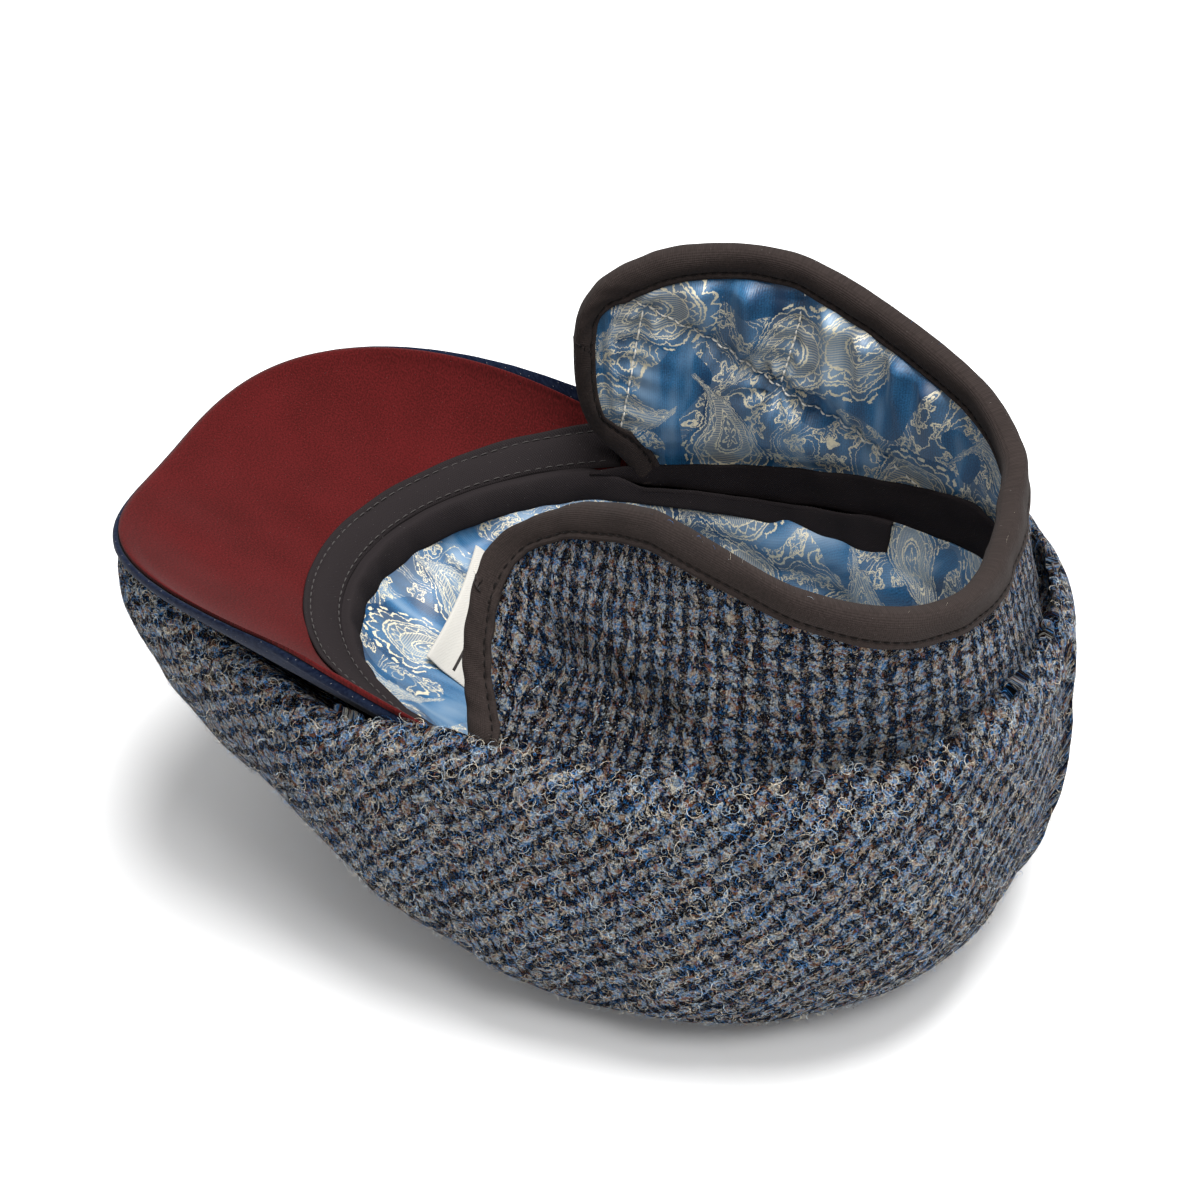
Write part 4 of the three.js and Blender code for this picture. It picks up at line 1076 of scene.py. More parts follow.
def satin_drawing(tree, known):
    """Line work of the drops and of the flowers and vines between them."""
    steps = (
        # A drop with a round foot and a bent tip: reach is 1 on its outline
        ("rise", "MAXIMUM", "drop_y", 0.0), ("lift", "MULTIPLY", "rise", "rise"),
        ("bend", "MULTIPLY_ADD", "lift", -1.5, "drop_x"),
        ("taper", "MULTIPLY_ADD", "drop_y", -0.48, 0.21), ("wide", "MAXIMUM", "taper", 0.035),
        ("broad", "MINIMUM", "wide", 0.27), ("side", "DIVIDE", "bend", "broad"),
        ("tall", "DIVIDE", "drop_y", 0.46), ("side2", "MULTIPLY", "side", "side"),
        ("reach2", "MULTIPLY_ADD", "tall", "tall", "side2"), ("reach", "SQRT", "reach2"),
        ("round", "ARCTAN2", "side", "tall"),
        # Scallops and dots that run round the drop, inside it and outside it
        ("wave_run", "MULTIPLY", "round", 9), ("wave_at", "SINE", "wave_run"),
        ("arch", "ABSOLUTE", "wave_at"),
        ("inner_arch", "MULTIPLY_ADD", "arch", 0.13, 0.73),
        ("outer_arch", "MULTIPLY_ADD", "arch", 0.13, 1.10),
        ("from_inner", "SUBTRACT", "reach", "inner_arch"), ("from_outer", "SUBTRACT", "reach", "outer_arch"),
        ("petal_run", "MULTIPLY", "round", 6), ("petal_at", "COSINE", "petal_run"),
        ("from_petal", "MULTIPLY_ADD", "petal_at", -0.08, "reach"),
        ("dot_run", "MULTIPLY", "round", 18), ("dot_at", "COSINE", "dot_run"),
        ("dot", "GREATER_THAN", "dot_at", 0.3),
        ("dot_ring", "COMPARE", "reach", 1.31, 0.035), ("dots", "MULTIPLY", "dot", "dot_ring"),
        # Flowers between the drops
        ("rose_x2", "MULTIPLY", "rose_x", "rose_x"),
        ("rose_r2", "MULTIPLY_ADD", "rose_y", "rose_y", "rose_x2"),
        ("rose_r", "SQRT", "rose_r2"), ("rose_a", "ARCTAN2", "rose_x", "rose_y"),
        ("leaf_run", "MULTIPLY", "rose_a", 5), ("leaf_at", "COSINE", "leaf_run"),
        ("from_leaf", "MULTIPLY_ADD", "leaf_at", -0.10, "rose_r"),
        ("vine_run", "MULTIPLY", "vine", 34), ("vine_at", "SINE", "vine_run"),
        # Fine hatching, drawn at 0.8 mm so that it shows
        ("hatch_run", "MULTIPLY", "v", 7.8), ("hatch_at", "SINE", "hatch_run"),
        ("hatch_on", "GREATER_THAN", "hatch_at", 0.1), ("hatch_band", "COMPARE", "reach", 0.57, 0.13),
        ("hatch_full", "MULTIPLY", "hatch_on", "hatch_band"), ("hatch", "MULTIPLY", "hatch_full", 0.5),
        ("drop_lines", "MAXIMUM", "hatch", "dots"),
    )
    lines = (
        # name, field, place, half width
        ("drop_lines", "reach", 1.0, 0.018), ("drop_lines", "reach", 0.93, 0.015),
        ("drop_lines", "reach", 0.70, 0.016), ("drop_lines", "reach", 0.43, 0.018),
        ("drop_lines", "reach", 0.36, 0.016),
        ("drop_lines", "from_inner", 0.0, 0.020), ("drop_lines", "from_outer", 0.0, 0.024),
        ("drop_lines", "from_petal", 0.18, 0.03), ("field_lines", "from_leaf", 0.29, 0.030),
        ("field_lines", "from_leaf", 0.19, 0.022), ("field_lines", "vine_at", 0.75, 0.07),
        ("field_lines", "vine_at", -0.2, 0.06),
    )
    known["field_lines"] = 0.0
    for name, operation, *values in steps:
        known[name] = add(tree, "ShaderNodeMath", {"operation": operation},
                          [known.get(value, value) for value in values]).outputs[0]
    for name, field, place, half in lines:
        line = add(tree, "ShaderNodeMath", {"operation": "COMPARE"}, [known[field], place, half])
        known[name] = add(tree, "ShaderNodeMath", {"operation": "MAXIMUM"},
                          [line.outputs[0], known[name]]).outputs[0]


# Satin jacquard: long blue floats with cream line work woven in, on drops about 40 mm long with lace edges
# and small flowers between them. The floats give it a soft shine, and its lines are 0.4 to 0.7 mm wide.
# Broad pale bands of painted sheen and deep bands of painted fold shade are mixed into its colour
def satin_material():
    material, tree, shader, weave = new_material("satin_jacquard")
    known = satin_places(tree, weave)
    satin_drawing(tree, known)
    steps = (
        ("inside", "LESS_THAN", "reach", 1.02), ("laced", "LESS_THAN", "reach", 1.22),
        ("outside", "GREATER_THAN", "reach", 1.40), ("patch_on", "GREATER_THAN", "patch", 0.45),
        ("sprays_on", "MULTIPLY", "outside", "patch_on"), ("sprays", "MULTIPLY", "field_lines", "sprays_on"),
        ("lines", "MAXIMUM", "drop_lines", "sprays"),
        ("worn_more", "MULTIPLY_ADD", "worn", 2.0, 0.0), ("worn_less", "MINIMUM", "worn_more", 1.0),
        ("worn_share", "MAXIMUM", "worn_less", 0.78), ("cream", "MULTIPLY", "lines", "worn_share"),
        ("ribs_run", "MULTIPLY", "u", 9.0), ("ribs", "SINE", "ribs_run"),
        ("haze_a", "MULTIPLY", "inside", 0.18), ("haze_b", "MULTIPLY", "laced", 0.14),
        ("haze_c", "MULTIPLY", "sprays_on", 0.14), ("haze_ab", "ADD", "haze_a", "haze_b"),
        # Painted sheen and fold shade: the stretched noise turns pale on its ridges and deep in its troughs
        ("lit", "MULTIPLY_ADD", "shade", 2.0, -1.08), ("lit_up", "MAXIMUM", "lit", 0.0),
        ("haze_abc", "ADD", "haze_ab", "haze_c"), ("haze", "ADD", "haze_abc", "lit_up"),
        ("shaded", "MULTIPLY_ADD", "shade", 2.6, -1.45), ("floated", "MULTIPLY_ADD", "float", 1.3, "shaded"),
        ("ribbed", "MULTIPLY_ADD", "ribs", 0.10, "floated"),
        ("raised", "MULTIPLY_ADD", "ribs", 0.25, "cream"),
    )
    for name, operation, *values in steps:
        known[name] = add(tree, "ShaderNodeMath", {"operation": operation, "use_clamp": name == "ribbed"},
                          [known.get(value, value) for value in values]).outputs[0]
    # The ground mixes painted fold shade in the deep colour with the satin colour; the next mix adds the
    # pattern's pale haze and painted sheen
    ground = add(tree, "ShaderNodeMix", {"data_type": "RGBA"},
                 {0: known["ribbed"], 6: colour("satin_deep"), 7: colour("satin")})
    within = add(tree, "ShaderNodeMix", {"data_type": "RGBA"},
                 {0: known["haze"], 6: ground.outputs[2], 7: colour("satin_pale")})
    cloth = add(tree, "ShaderNodeMix", {"data_type": "RGBA"},
                {0: known["cream"], 6: within.outputs[2], 7: colour("jacquard_cream")})
    bump = add(tree, "ShaderNodeBump", None,
               {"Strength": 0.35, "Distance": 0.0002, "Height": known["raised"]})
    feed(tree, shader, {"Base Color": cloth.outputs[2], "Normal": bump.outputs["Normal"], "Roughness": 0.44,
                        "Specular IOR Level": 0.65, "Sheen Weight": 0.10, "Sheen Roughness": 0.3})
    return material


# Napped and milled cloths and cottons: a flat colour broken by lint, nap and a fine weave
def plain_cloth(name, light, dark, grain, lint, roughness, sheen, weave_pitch=None):
    """Takes the colours, the nap's lump in mm, how much pale fluff shows, and the thread spacing."""
    material, tree, shader, weave = new_material(name)
    nap = add(tree, "ShaderNodeTexNoise", {"noise_dimensions": "2D"},
              {"Vector": weave, "Scale": 1 / grain, "Detail": 3, "Roughness": 0.6})
    cloud = add(tree, "ShaderNodeTexNoise", {"noise_dimensions": "2D"},
                {"Vector": weave, "Scale": 0.05, "Detail": 3})
    both = add(tree, "ShaderNodeMath", {"operation": "MULTIPLY_ADD"},
               [nap.outputs["Fac"], 4.0, cloud.outputs["Fac"]])
    share = add(tree, "ShaderNodeMapRange", None,
                {"Value": both.outputs[0], "From Min": 1.9, "From Max": 3.1})
    ground = add(tree, "ShaderNodeMix", {"data_type": "RGBA"},
                 {0: share.outputs[0], 6: colour(dark), 7: colour(light)})
    fluff = add(tree, "ShaderNodeTexVoronoi", {"voronoi_dimensions": "2D"}, {"Vector": weave, "Scale": 0.28})
    speck = add(tree, "ShaderNodeMath", {"operation": "LESS_THAN"}, [fluff.outputs["Distance"], lint])
    speckled = add(tree, "ShaderNodeMix", {"data_type": "RGBA"},
                   {0: speck.outputs[0], 6: ground.outputs[2], 7: colour("cotton_thread")})
    height = nap.outputs["Fac"]
    if weave_pitch:
        ribs = add(tree, "ShaderNodeVectorMath", {"operation": "SCALE"},
                   {0: weave, "Scale": 2 * math.pi / weave_pitch})
        waves = add(tree, "ShaderNodeVectorMath", {"operation": "SINE"}, [ribs.outputs[0]])
        split = add(tree, "ShaderNodeSeparateXYZ", None, [waves.outputs[0]])
        crossing = add(tree, "ShaderNodeMath", {"operation": "MULTIPLY"},
                       [split.outputs["X"], split.outputs["Y"]])
        raised = add(tree, "ShaderNodeMath", {"operation": "ADD"}, [crossing.outputs[0], nap.outputs["Fac"]])
        height = raised.outputs[0]
    bump = add(tree, "ShaderNodeBump", None, {"Strength": 0.5, "Distance": 0.0002, "Height": height})
    feed(tree, shader, {"Base Color": speckled.outputs[2], "Normal": bump.outputs["Normal"],
                        "Roughness": roughness, "Specular IOR Level": 0.03,
                        "Sheen Weight": sheen, "Sheen Roughness": 0.45})
    return material


def material(name):
    """One material of the cap, made when it is first asked for."""
    if name in bpy.data.materials:
        return bpy.data.materials[name]
    if name in PLAIN_CLOTHS:
        return plain_cloth(name, *PLAIN_CLOTHS[name])
    makers = {"woollen_tweed": tweed_material, "loose_wool": fibre_material, "satin_jacquard": satin_material}
    return makers[name]()


def hair_roots(draw, grid, columns, count, bare):
    """Random places on a tweed face, with the way it faces and its two directions there."""
    after = (np.arange(columns) + 1) % len(grid)
    a, b = grid[:columns, :-1], grid[after, :-1]
    c, d = grid[after, 1:], grid[:columns, 1:]
    facing = np.cross(c - a, d - b)
    area = np.linalg.norm(facing, axis=-1) * bare[:columns, :-1]
    chosen = draw.choice(area.size, count, p=(area / area.sum()).ravel())
    s, t = draw.random((2, count, 1))
    a, b, c, d = (q.reshape(-1, 3)[chosen] for q in (a, b, c, d))
    normal = unit(-facing.reshape(-1, 3)[chosen])
    right = unit(b - a)
    return mix(mix(a, b, s), mix(d, c, s), t), normal, right, np.cross(normal, right)


def hairs(name, grid, weave, count, seed, bare):
    """Curled single fibres standing off the bare part of a tweed face, as one mesh of narrow ribbons."""
    draw = np.random.default_rng(seed)
    root, normal, right, ahead = hair_roots(draw, grid, len(weave), count, bare)
    heading = draw.uniform(0, 2 * math.pi, count)
    curl = draw.uniform(0.3, 1.25, count) * draw.choice([-1, 1], count)
    rise = np.radians(draw.uniform(12, 52, count))
    reach = HAIR["length"] * draw.uniform(0.5, 1.6, count)
    half = HAIR["width"] / 2 * draw.uniform(0.7, 1.4, count)
    knots = HAIR["segments"] + 1
    spine = np.zeros((count, knots, 3))
    spine[:, 0] = root - normal * 0.1
    sides = np.zeros_like(spine)
    for k in range(knots):
        lie = np.cos(rise * (1 - 1.5 * k / knots))
        flat = np.cos(heading + curl * k)[:, None] * right + np.sin(heading + curl * k)[:, None] * ahead
        way = flat * lie[:, None] + normal * np.sin(rise * (1 - 1.5 * k / knots))[:, None]
        sides[:, k] = unit(np.cross(way, normal)) * (half * (1 - 0.6 * k / knots))[:, None]
        if k:
            spine[:, k] = spine[:, k - 1] + way * (reach / HAIR["segments"])[:, None]
    points = np.stack([spine - sides, spine + sides], 2).reshape(-1, 3)
    first = (np.arange(count) * knots * 2)[:, None] + np.arange(HAIR["segments"])[None, :] * 2
    quads = np.stack([first, first + 1, first + 3, first + 2], -1).reshape(-1, 4)
    tint = np.repeat(draw.random(count), HAIR["segments"])[:, None, None]
    places = np.concatenate([np.broadcast_to(tint, (len(quads), 4, 1)), np.zeros((len(quads), 4, 1))], -1)
    return build(name, points, [(quads, places)], material("loose_wool"))


def stitches(name, line, normal, thread, step, long, thick, lift):
    """A row of short stitches along a line of surface points, as one mesh."""
    runs = np.linalg.norm(np.diff(line, axis=0), axis=1)
    along = np.concatenate([[0], np.cumsum(runs)])
    middles = np.arange(step / 2, along[-1] - step / 2, step)

    def at(values, places):
        return np.stack([np.interp(places, along, values[:, k]) for k in range(3)], -1)

    centre = at(line, middles)
    up = unit(at(normal, middles))
    ahead = unit(at(line, middles + 0.5) - at(line, middles - 0.5))
    across = np.cross(up, ahead)
    rings = ((-0.5, 0.35, -0.6), (-0.25, 1.0, 0.25), (0.25, 1.0, 0.25), (0.5, 0.35, -0.6))
    corners = np.arange(6) * math.pi / 3
    points = []
    for place, girth, rise in rings:
        for angle in corners:
            stand = lift + thick * (rise + 0.5 * girth * math.sin(angle))
            points.append(centre + ahead * place * long + up * stand
                          + across * 0.5 * thick * girth * math.cos(angle))
    points = np.stack(points, 1)
    base = (np.arange(len(middles)) * 24)[:, None, None]
    i, j = np.meshgrid(np.arange(3), np.arange(6), indexing="ij")
    after = (j + 1) % 6
    quads = np.stack([i * 6 + j, i * 6 + after, (i + 1) * 6 + after, (i + 1) * 6 + j], -1).reshape(1, -1, 4)
    sides = (base + quads).reshape(-1, 4)
    caps = [(base[:, 0] + ring).reshape(-1, 6) for ring in (np.arange(6)[::-1], np.arange(18, 24))]
    polygons = [(sides, np.zeros((len(sides), 4, 2)))] + [(cap, np.zeros((len(cap), 6, 2))) for cap in caps]
    return build(name, points.reshape(-1, 3), polygons, material(thread))


def flap_line(turn, height, offset):
    """Points on a flap face and the way they face, for a line of turns and heights."""
    inner = flap_point(turn, height, offset)
    return inner, flap_point(turn, height, offset + np.sign(offset)) - inner


class CAP_OT_crown(bpy.types.Operator):
    """Tweed crown with its centre seam"""
    bl_idname = "cap.crown"
    bl_label = "Crown"

    def execute(self, context):
        grid, weave = crown_face(*CROWN_GRID)
        inner = grid + normals(grid, True) * CLOTH["tweed"]
        inner[:, -1, 2] = CLOTH["tweed"]
        piece = wall("tweed_crown", grid, inner, weave, material("woollen_tweed"), ring=True, closed=True)
        dress(piece, "tweed", "crown")
        return {"FINISHED"}


class CAP_OT_flaps(bpy.types.Operator):
    """Tweed earflap band with its quilted satin face"""
    bl_idname = "cap.flaps"
    bl_label = "Earflaps"

    def execute(self, context):
        piece = wall("earflap_tweed", *flap_tweed(), material("woollen_tweed"))
        dress(piece, "tweed", "earflap_band")

        turn, height, offset = flap_panel(-CLOTH["gap"], *FLAP_SATIN_GRID, above_crease)
        dents = flap_dents(turn, height)
        relief = np.maximum(satin_relief(turn, height), -0.6)
        front = flap_point(turn, height, offset + dents)
        back = flap_point(turn, height, offset + dents - CLOTH["satin"] + 0.6 - relief)
        piece = wall("earflap_satin", front, back, flap_weave(turn, height), material("satin_jacquard"))
        dress(piece, "lining", "earflap_lining", padded=0.4)
        return {"FINISHED"}


class CAP_OT_binding(bpy.types.Operator):
    """Bias binding folded over the free edge of the flaps"""
    bl_idname = "cap.binding"
    bl_label = "Binding"

    def execute(self, context):
        edge, inward, along = edge_frames()
        width, thick = size("binding_width"), CLOTH["binding"]
        outer = CLOTH["tweed"] + 0.75 + thick
        inner = -CLOTH["gap"] - CLOTH["satin"] - 1.0 - thick
        # Section from the inner edge of the outside face, round the fold, to that of the inside face
        section = [
            (width, outer - thick), (width + 0.1, outer - 0.5), (width - 0.5, outer - 0.1),
            (width - 1.3, outer - 0.15), (width - 2.0, outer - 0.8), (width - 2.7, outer - 0.05),
            (width - 4.5, outer + 0.15), (3.4, outer + 0.1), (1.9, outer - 0.25),
            (0.75, outer - 1.1), (0.15, outer - 2.2), (0.0, (outer + inner) / 2),
            (0.15, inner + 2.2), (0.75, inner + 1.1), (1.9, inner + 0.25), (3.4, inner - 0.1),
            (width - 4.5, inner - 0.15), (width - 2.7, inner + 0.05), (width - 2.0, inner + 0.8),
            (width - 1.3, inner + 0.15), (width - 0.5, inner + 0.1), (width + 0.1, inner + 0.5),
            (width, inner + thick), (width / 2, inner + thick), (1.3, inner + thick + 0.1),
            (1.1, (outer + inner) / 2), (1.3, outer - thick - 0.1), (width / 2, outer - thick),
        ]
        past = (edge[:, 0] - BINDING_NARROWS["from_turn"]) / BINDING_NARROWS["over_turn"]
        narrowed = 1 - BINDING_NARROWS["by"] * smooth(past)
        rows = []
        for depth, offset in section:
            turn, height = binding_place(edge, inward, depth * narrowed)
            drag = binding_drag(along, depth, edge[:, 0]) * (1 if offset > 0 else -1)
            dents = flap_dents(turn, height) * smooth(depth / 6)
            rows.append(flap_point(turn, height, offset + drag + dents))
        sections = np.stack(rows, 1)
        depths = np.array([depth if offset > 0 else -depth for depth, offset in section] + [section[0][0]])
        slanted = (along[:, None] + depths[None]) * 0.7071, (depths[None] - along[:, None]) * 0.7071
        piece = tube("edge_binding", sections, np.stack(slanted, -1), material("bias_cotton"))
        dress(piece, "bias_binding", "flap_binding")
        for side, name in ((1, "binding_stitches_outside"), (-1, "binding_stitches_inside")):
            turn, height = binding_place(edge, inward, (width - 2.0) * narrowed)
            offset = (outer if side > 0 else inner) - 0.35 * side + flap_dents(turn, height)
            line = flap_point(turn, height, offset)
            normal = flap_point(turn, height, offset + side) - line
            dress(stitches(name, line, normal, *STITCHES["binding"]), "bias_binding")
        return {"FINISHED"}


class CAP_OT_quilting(bpy.types.Operator):
    """Quilting thread on the satin of both flaps and of the crown lining"""
    bl_idname = "cap.quilting"
    bl_label = "Quilting"

    def execute(self, context):
        surface = -CLOTH["gap"] - CLOTH["satin"] + 0.85
        for side in ("left", "right"):
            for k, corners in enumerate(QUILTING):
                line = curve(np.array(corners), 20)
                turn = line[:, 0] if side == "left" else 360 - line[:, 0]
                relief = np.maximum(satin_relief(turn, line[:, 1]), -0.6)
                offset = surface - relief - 0.1 + flap_dents(turn, line[:, 1])
                points, normal = flap_line(turn, line[:, 1], offset)
                name = f"quilting_{side}_{k + 1}"
                dress(stitches(name, points, normal, *STITCHES["quilting"]), "lining")
        return {"FINISHED"}


class CAP_OT_lining(bpy.types.Operator):
    """Hanging satin lining of the crown"""
    bl_idname = "cap.lining"
    bl_label = "Crown lining"

    def execute(self, context):
        grid, weave = bowl_face(*BOWL_GRID)
        under = grid + normals(grid, True) * CLOTH["satin"]
        piece = wall("hanging_satin", grid, under, weave, material("satin_jacquard"), ring=True, closed=True)
        dress(piece, "lining", "crown_lining", padded=0.2)
        return {"FINISHED"}


class CAP_OT_band(bpy.types.Operator):
    """Black cotton band inside the head opening and tape at the base of the flap lining"""
    bl_idname = "cap.band"
    bl_label = "Sweatband and tape"

    def execute(self, context):
        turn = np.linspace(-BAND_END, BAND_END, BAND_COLUMNS)
        row = {name: read(BAND, name, np.abs(turn)) for name in BAND}
        start, reach, high, drop = row["startIn"], row["reach"], row["startUp"], row["drop"]
        inward = [start - 1.5, start, mix(start, reach, 0.5), reach - 0.4, reach, reach - 0.5]
        up = [high - 0.5, high, high * 0.8 + 0.2, mix(high, -drop, 0.4), -drop, -drop - 0.6]
        run = curve(np.stack([np.stack(inward, -1), np.stack(up, -1)], -1), 4)
        turns = turn[:, None] + 0 * run[..., 0]
        place = np.stack([seam_length(turns % 360), run[..., 1]], -1)
        pull = 0.25 * ripple(place, 12, 41)
        plan = seam_point(turns, -run[..., 0] - pull)
        face = np.concatenate([plan, (size("seam_height") + run[..., 1])[..., None]], -1)
        back = face + normals(face) * -CLOTH["cotton"]
        weave = spans(np.stack([turns * 1.6, run[..., 1]], -1))
        piece = wall("cotton_band", face, back, weave, material("dyed_cotton"))
        dress(piece, "black_cotton", "sweatband")

        turn = np.linspace(TAPE["at"][0], 360 - TAPE["at"][0], TAPE_GRID[0])
        at = mirrored(turn)
        low, high = read(TAPE, "low", at), read(TAPE, "high", at)
        share = np.linspace(0, 1, TAPE_GRID[1])
        height = mix(low[:, None], high[:, None], share[None])
        turns = turn[:, None] + 0 * height
        place = np.stack([seam_length(turns), height], -1)
        outer = -4 * CLOTH["gap"] - CLOTH["satin"]
        bulge = 0.5 * np.sin(math.pi * share)[None] + 0.3 * ripple(place, 14, 43)
        face = flap_point(turns, height, outer - CLOTH["tape"] - bulge)
        back = flap_point(turns, height, outer - bulge)
        # The tape's cloth is the band's cotton painted darker, as shade
        piece = wall("base_tape", face, back, spans(place), material("black_tape"))
        dress(piece, "black_cotton", "flap_tape")
        return {"FINISHED"}


class CAP_OT_label(bpy.types.Operator):
    """Bare woven label with one plain rule"""
    bl_idname = "cap.label"
    bl_label = "Label"

    def execute(self, context):
        piece = self.strip("woven_label", (0, LABEL["length"], 60), (0, LABEL["width"], 26), 0, "woven_label")
        dress(piece, "label_weave", "label")
        along, across = (*RULE["along"], 50), (*RULE["across"], 3)
        rule = self.strip("label_rule", along, across, RULE["lift"], "label_rule")
        dress(rule, "label_weave")
        return {"FINISHED"}

    def strip(self, name, along, across, lift, finish):
        """A piece of the label's face, laid over the lining under it."""
        back, side = np.meshgrid(np.linspace(*along), np.linspace(*across), indexing="ij")
        turn = math.radians(LABEL["turn"])
        x = LABEL["corner"][0] - back * math.cos(turn) + side * math.sin(turn)
        y = LABEL["corner"][1] + back * math.sin(turn) + side * math.cos(turn)
        curl = 1.2 * smooth((5 - side) / 5) + 0.35 * np.sin(back / 7.5)
        z = self.surface(x, y) + LABEL["lift"] + curl + lift
        face = np.stack([x, y, z], -1)
        base = face - np.array([0, 0, LABEL["thickness"]])
        return wall(name, face, base, spans(np.stack([back, side], -1)), material(finish))

    def surface(self, x, y):
        """A smooth sheet laid over the mesh corners of the lining round the label."""
        grid, _ = bowl_face(*BOWL_GRID)
        cloud = grid.reshape(-1, 3)
        along, across = label_axes(cloud)
        near = (np.abs(along - LABEL["length"] / 2) < LABEL["length"] / 2 + 3)
        near &= (np.abs(across - LABEL["width"] / 2) < LABEL["width"] / 2 + 3)
        cloud = cloud[near & (cloud[:, 2] < size("seam_height") - 9)]

        def terms(x, y):
            return np.stack([np.ones_like(x), x, y, x * x, x * y, y * y], -1)

        share = np.linalg.lstsq(terms(cloud[:, 0], cloud[:, 1]), cloud[:, 2], rcond=None)[0]
        poke = (cloud[:, 2] - terms(cloud[:, 0], cloud[:, 1]) @ share).max()
        return terms(x, y) @ share + max(poke, 0)


class CAP_OT_peak(bpy.types.Operator):
    """Peak with its melton cloth, moleskin face and cotton strip"""
    bl_idname = "cap.peak"
    bl_label = "Peak"

    def execute(self, context):
        across = peak_stations(150)[:, None]
        under = PEAK_SIDES["under"] + CLOTH["gap"]
        deep = under + PEAK_SIDES["top"]
        border, bend = PEAK_SIDES["border"], PEAK_SIDES["round"]
        # Melton section: below from the root out, round the edge, over the border, down and back to the root
        arc = np.radians(np.linspace(-90, 90, 11))
        middle, half = (deep + PEAK_SIDES["sunk"]) / 2, (deep - PEAK_SIDES["sunk"]) / 2
        section = [(out, bend, deep) for out in np.linspace(0, 0.98, 12)]
        section += [(1, bend - bend * math.cos(a), middle - half * math.sin(a)) for a in arc]
        section += [(1, border, PEAK_SIDES["sunk"] + 0.1), (1, border, under)]
        section += [(out, border, under) for out in np.linspace(0.98, 0, 8)]
        rows = [peak_point(across[:, 0], out, inset, below) for out, inset, below in section]
        sections = np.stack(rows, 1)
        lengths = np.linalg.norm(np.diff(sections, axis=1, append=sections[:, :1]), axis=-1)
        down = np.concatenate([np.zeros((len(sections), 1)), np.cumsum(lengths, 1)], 1)
        rim = sections[:, 12]
        sideways = np.cumsum(np.linalg.norm(np.diff(rim, axis=0, prepend=rim[:1]), axis=1))
        weave = np.stack([sideways[:, None] + 0 * down, down], -1)
        sections = sections + 0.12 * ripple(sections, 6, 51)[..., None]
        piece = tube("melton_peak", sections, weave, material("melton_wool"))
        dress(piece, "navy_melton", "peak_top")

        out = np.linspace(0, 1, 40)[None, :]
        inset = border + CLOTH["gap"]
        roll = 0.35 * smooth((out - 0.985) / 0.015) - 0.55 * smooth((out - 0.9) / 0.05)
        inset = mix(inset, 0.9, smooth((out - 0.9) / 0.1) * smooth((across - 0.8) / 0.12))
        flat = peak_point(across + 0 * out, out, inset, 0 * out)
        soft = 0.35 * ripple(flat, 30, 52) * smooth((1 - out) / 0.2) * smooth(out / 0.2)
        face = peak_point(across + 0 * out, out, inset, roll - 0.2 - soft)
        thin = mix(PEAK_SIDES["under"], PEAK_SIDES["sunk"] - 0.35, smooth((out - 0.88) / 0.1))
        base = peak_point(across + 0 * out, out, inset, thin)
        piece = wall("moleskin_face", face, base, spans(flat[..., :2]), material("moleskin_nap"))
        dress(piece, "burgundy_moleskin", "peak_under")
        self.strip_of_cotton()
        return {"FINISHED"}

    def strip_of_cotton(self):
        """Cotton strip over the root of the peak, with its two rows of stitches."""
        turn = np.linspace(-FACING["end_turn"], FACING["end_turn"], 180)[:, None]
        width = read(FACING_WIDTH, "width", turn)
        share = np.array([0, 0.1, 0.25, 0.4, 0.55, 0.68, 0.76, 0.8, 0.84, 0.91, 0.97, 1.0])[None, :]
        crest = np.array([0.0, 0.4, 0.9, 1.15, 1.1, 0.8, 0.35, 0.0, 0.35, 0.55, 0.3, -0.3])[None, :]

        def lay(share, lift):
            offset = mix(PEAK_SIDES["root_gap"] - 0.6, width, share)
            plan = seam_point(turn + 0 * offset, offset)
            rise = peak_rise(plan[..., 0], plan[..., 1])
            return np.concatenate([plan, (size("seam_height") + rise + lift)[..., None]], -1)

        top = CLOTH["gap"] + FACING["thickness"]
        face = lay(share, top + crest + 0.28 * ripple(lay(share, 0), 13, 53))
        base = lay(share, CLOTH["gap"] + 0 * crest)
        weave = spans(np.stack([turn * 1.7 + 0 * share, share * width], -1))
        piece = wall("cotton_strip", face, base, weave, material("dyed_cotton"))
        dress(piece, "black_cotton", "peak_facing")
        for name, place, lift in (("strip_stitches_outer", 0.8, 0.25), ("strip_stitches_inner", 0.06, 0.55)):
            line = lay(np.full((1, 1), place), top + lift)[3:-3, 0]
            normal = np.tile([0.0, 0.4, 0.9], (len(line), 1))
            dress(stitches(name, line, normal, *STITCHES["strip"]), "black_cotton")


class CAP_OT_fibres(bpy.types.Operator):
    """Loose wool fibres standing off the tweed"""
    bl_idname = "cap.fibres"
    bl_label = "Wool fibres"

    def execute(self, context):
        sizes = context.scene.cap_sizes
        grid, weave = crown_face(*CROWN_GRID)
        bare = smooth((grid[..., 2] - 1) / 3) * (np.hypot(grid[..., 0], grid[..., 1]) > CROWN_PLAIN)
        for side, name in ((1, "crown_fibres_right"), (-1, "crown_fibres_left")):
            piece = hairs(name, grid, weave, sizes.hairs // 2, 61 + side, bare * (grid[..., 0] * side >= 0))
            dress(piece, "tweed")
        outer, _, weave = flap_tweed()
        bare = (outer[..., 2] > size("seam_height") + 4).astype(float)
        dress(hairs("flap_fibres", outer, weave, sizes.flap_hairs, 71, bare), "tweed")
        return {"FINISHED"}


def toward(azimuth, elevation):
    """Unit direction from the cap to a place round it. Azimuth 0 is in front of the peak."""
    a, e = math.radians(azimuth), math.radians(elevation)
    return Vector((math.sin(a) * math.cos(e), -math.cos(a) * math.cos(e), math.sin(e)))


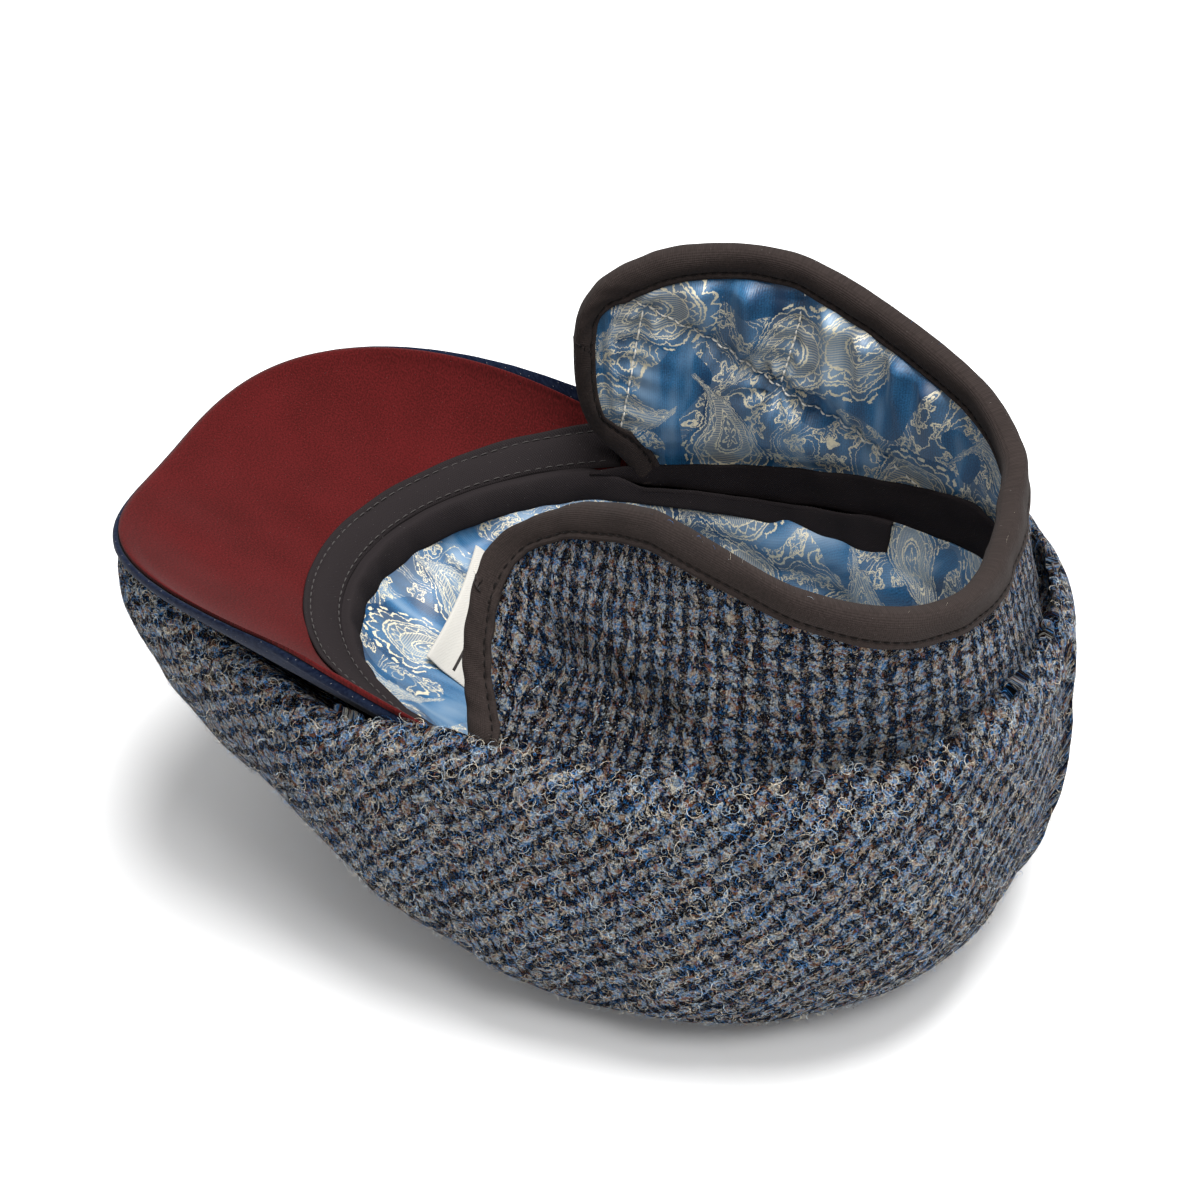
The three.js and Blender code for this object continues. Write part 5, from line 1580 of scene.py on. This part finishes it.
class CAP_OT_stage(bpy.types.Operator):
    """Pale floor, soft studio light and the camera"""
    bl_idname = "cap.stage"
    bl_label = "Stage"

    def execute(self, context):
        scene = context.scene
        self.lay_floor(scene)
        self.hang_lamps(scene)
        self.set_camera(scene)
        scene.view_settings.view_transform = "Standard"
        return {"FINISHED"}

    def lay_floor(self, scene):
        mesh = bpy.data.meshes.new("studio_floor")
        corners = [(x * FLOOR_REACH, y * FLOOR_REACH, 0) for x, y in ((-1, -1), (1, -1), (1, 1), (-1, 1))]
        mesh.from_pydata(corners, [], [(0, 1, 2, 3)])
        floor = bpy.data.objects.new("studio_floor", mesh)
        scene.collection.objects.link(floor)
        paper = bpy.data.materials.new("studio_paper")
        paper.use_nodes = True
        shader = next(node for node in paper.node_tree.nodes if node.type == "BSDF_PRINCIPLED")
        feed(paper.node_tree, shader, {"Base Color": colour("paper_white"), "Roughness": 0.9,
                                       "Specular IOR Level": 0.1})
        mesh.materials.append(paper)

    def hang_lamps(self, scene):
        for name, (azimuth, elevation, distance, width, power) in LAMPS.items():
            lamp = bpy.data.lights.new(name, "AREA")
            lamp.shape = "DISK"
            lamp.size = width
            lamp.energy = power
            holder = bpy.data.objects.new(name, lamp)
            scene.collection.objects.link(holder)
            way = toward(azimuth, elevation)
            holder.location = way * distance
            holder.rotation_euler = way.to_track_quat("Z", "Y").to_euler()
        world = bpy.data.worlds.new("studio_air")
        world.use_nodes = True
        background = next(node for node in world.node_tree.nodes if node.type == "BACKGROUND")
        feed(world.node_tree, background, {"Color": colour("paper_white"), "Strength": AIR_STRENGTH})
        scene.world = world

    def set_camera(self, scene):
        lens = bpy.data.cameras.new("camera")
        lens.lens = CAMERA["lens"]
        lens.sensor_width = CAMERA["film"]
        lens.clip_end = 50
        camera = bpy.data.objects.new("camera", lens)
        scene.collection.objects.link(camera)
        way = toward(CAMERA["azimuth"], CAMERA["elevation"])
        place = Vector(CAMERA["aim"]) * MM + way * CAMERA["distance"] * MM
        aim = way.to_track_quat("Z", "Y").to_matrix() @ Matrix.Rotation(math.radians(CAMERA["roll"]), 3, "Z")
        camera.matrix_world = Matrix.Translation(place) @ aim.to_4x4()
        scene.camera = camera


OPERATORS = (
    CAP_OT_crown, CAP_OT_lining, CAP_OT_band, CAP_OT_label, CAP_OT_peak, CAP_OT_flaps, CAP_OT_binding,
    CAP_OT_quilting, CAP_OT_fibres, CAP_OT_stage,
)


class CAP_PT_sidebar(bpy.types.Panel):
    """Sizes, colours and steps of the cap"""
    bl_idname = "CAP_PT_sidebar"
    bl_label = "Earflap Cap"
    bl_space_type = "VIEW_3D"
    bl_region_type = "UI"
    bl_category = "Cap"

    def draw(self, context):
        for group in (context.scene.cap_sizes, context.scene.cap_colours):
            for name in group.bl_rna.properties.keys():
                if name not in ("rna_type", "name"):
                    self.layout.prop(group, name)
        for step in OPERATORS:
            self.layout.operator(step.bl_idname)


CLASSES = (CapSizes, CapColours, CAP_PT_sidebar, *OPERATORS)


def register():
    for item in CLASSES:
        bpy.utils.register_class(item)
    bpy.types.Scene.cap_sizes = bpy.props.PointerProperty(type=CapSizes)
    bpy.types.Scene.cap_colours = bpy.props.PointerProperty(type=CapColours)


def unregister():
    del bpy.types.Scene.cap_sizes
    del bpy.types.Scene.cap_colours
    for item in reversed(CLASSES):
        bpy.utils.unregister_class(item)


def main():
    register()
    for step in OPERATORS:
        group, name = step.bl_idname.split(".")
        getattr(getattr(bpy.ops, group), name)()


if __name__ == "__main__":
    main()
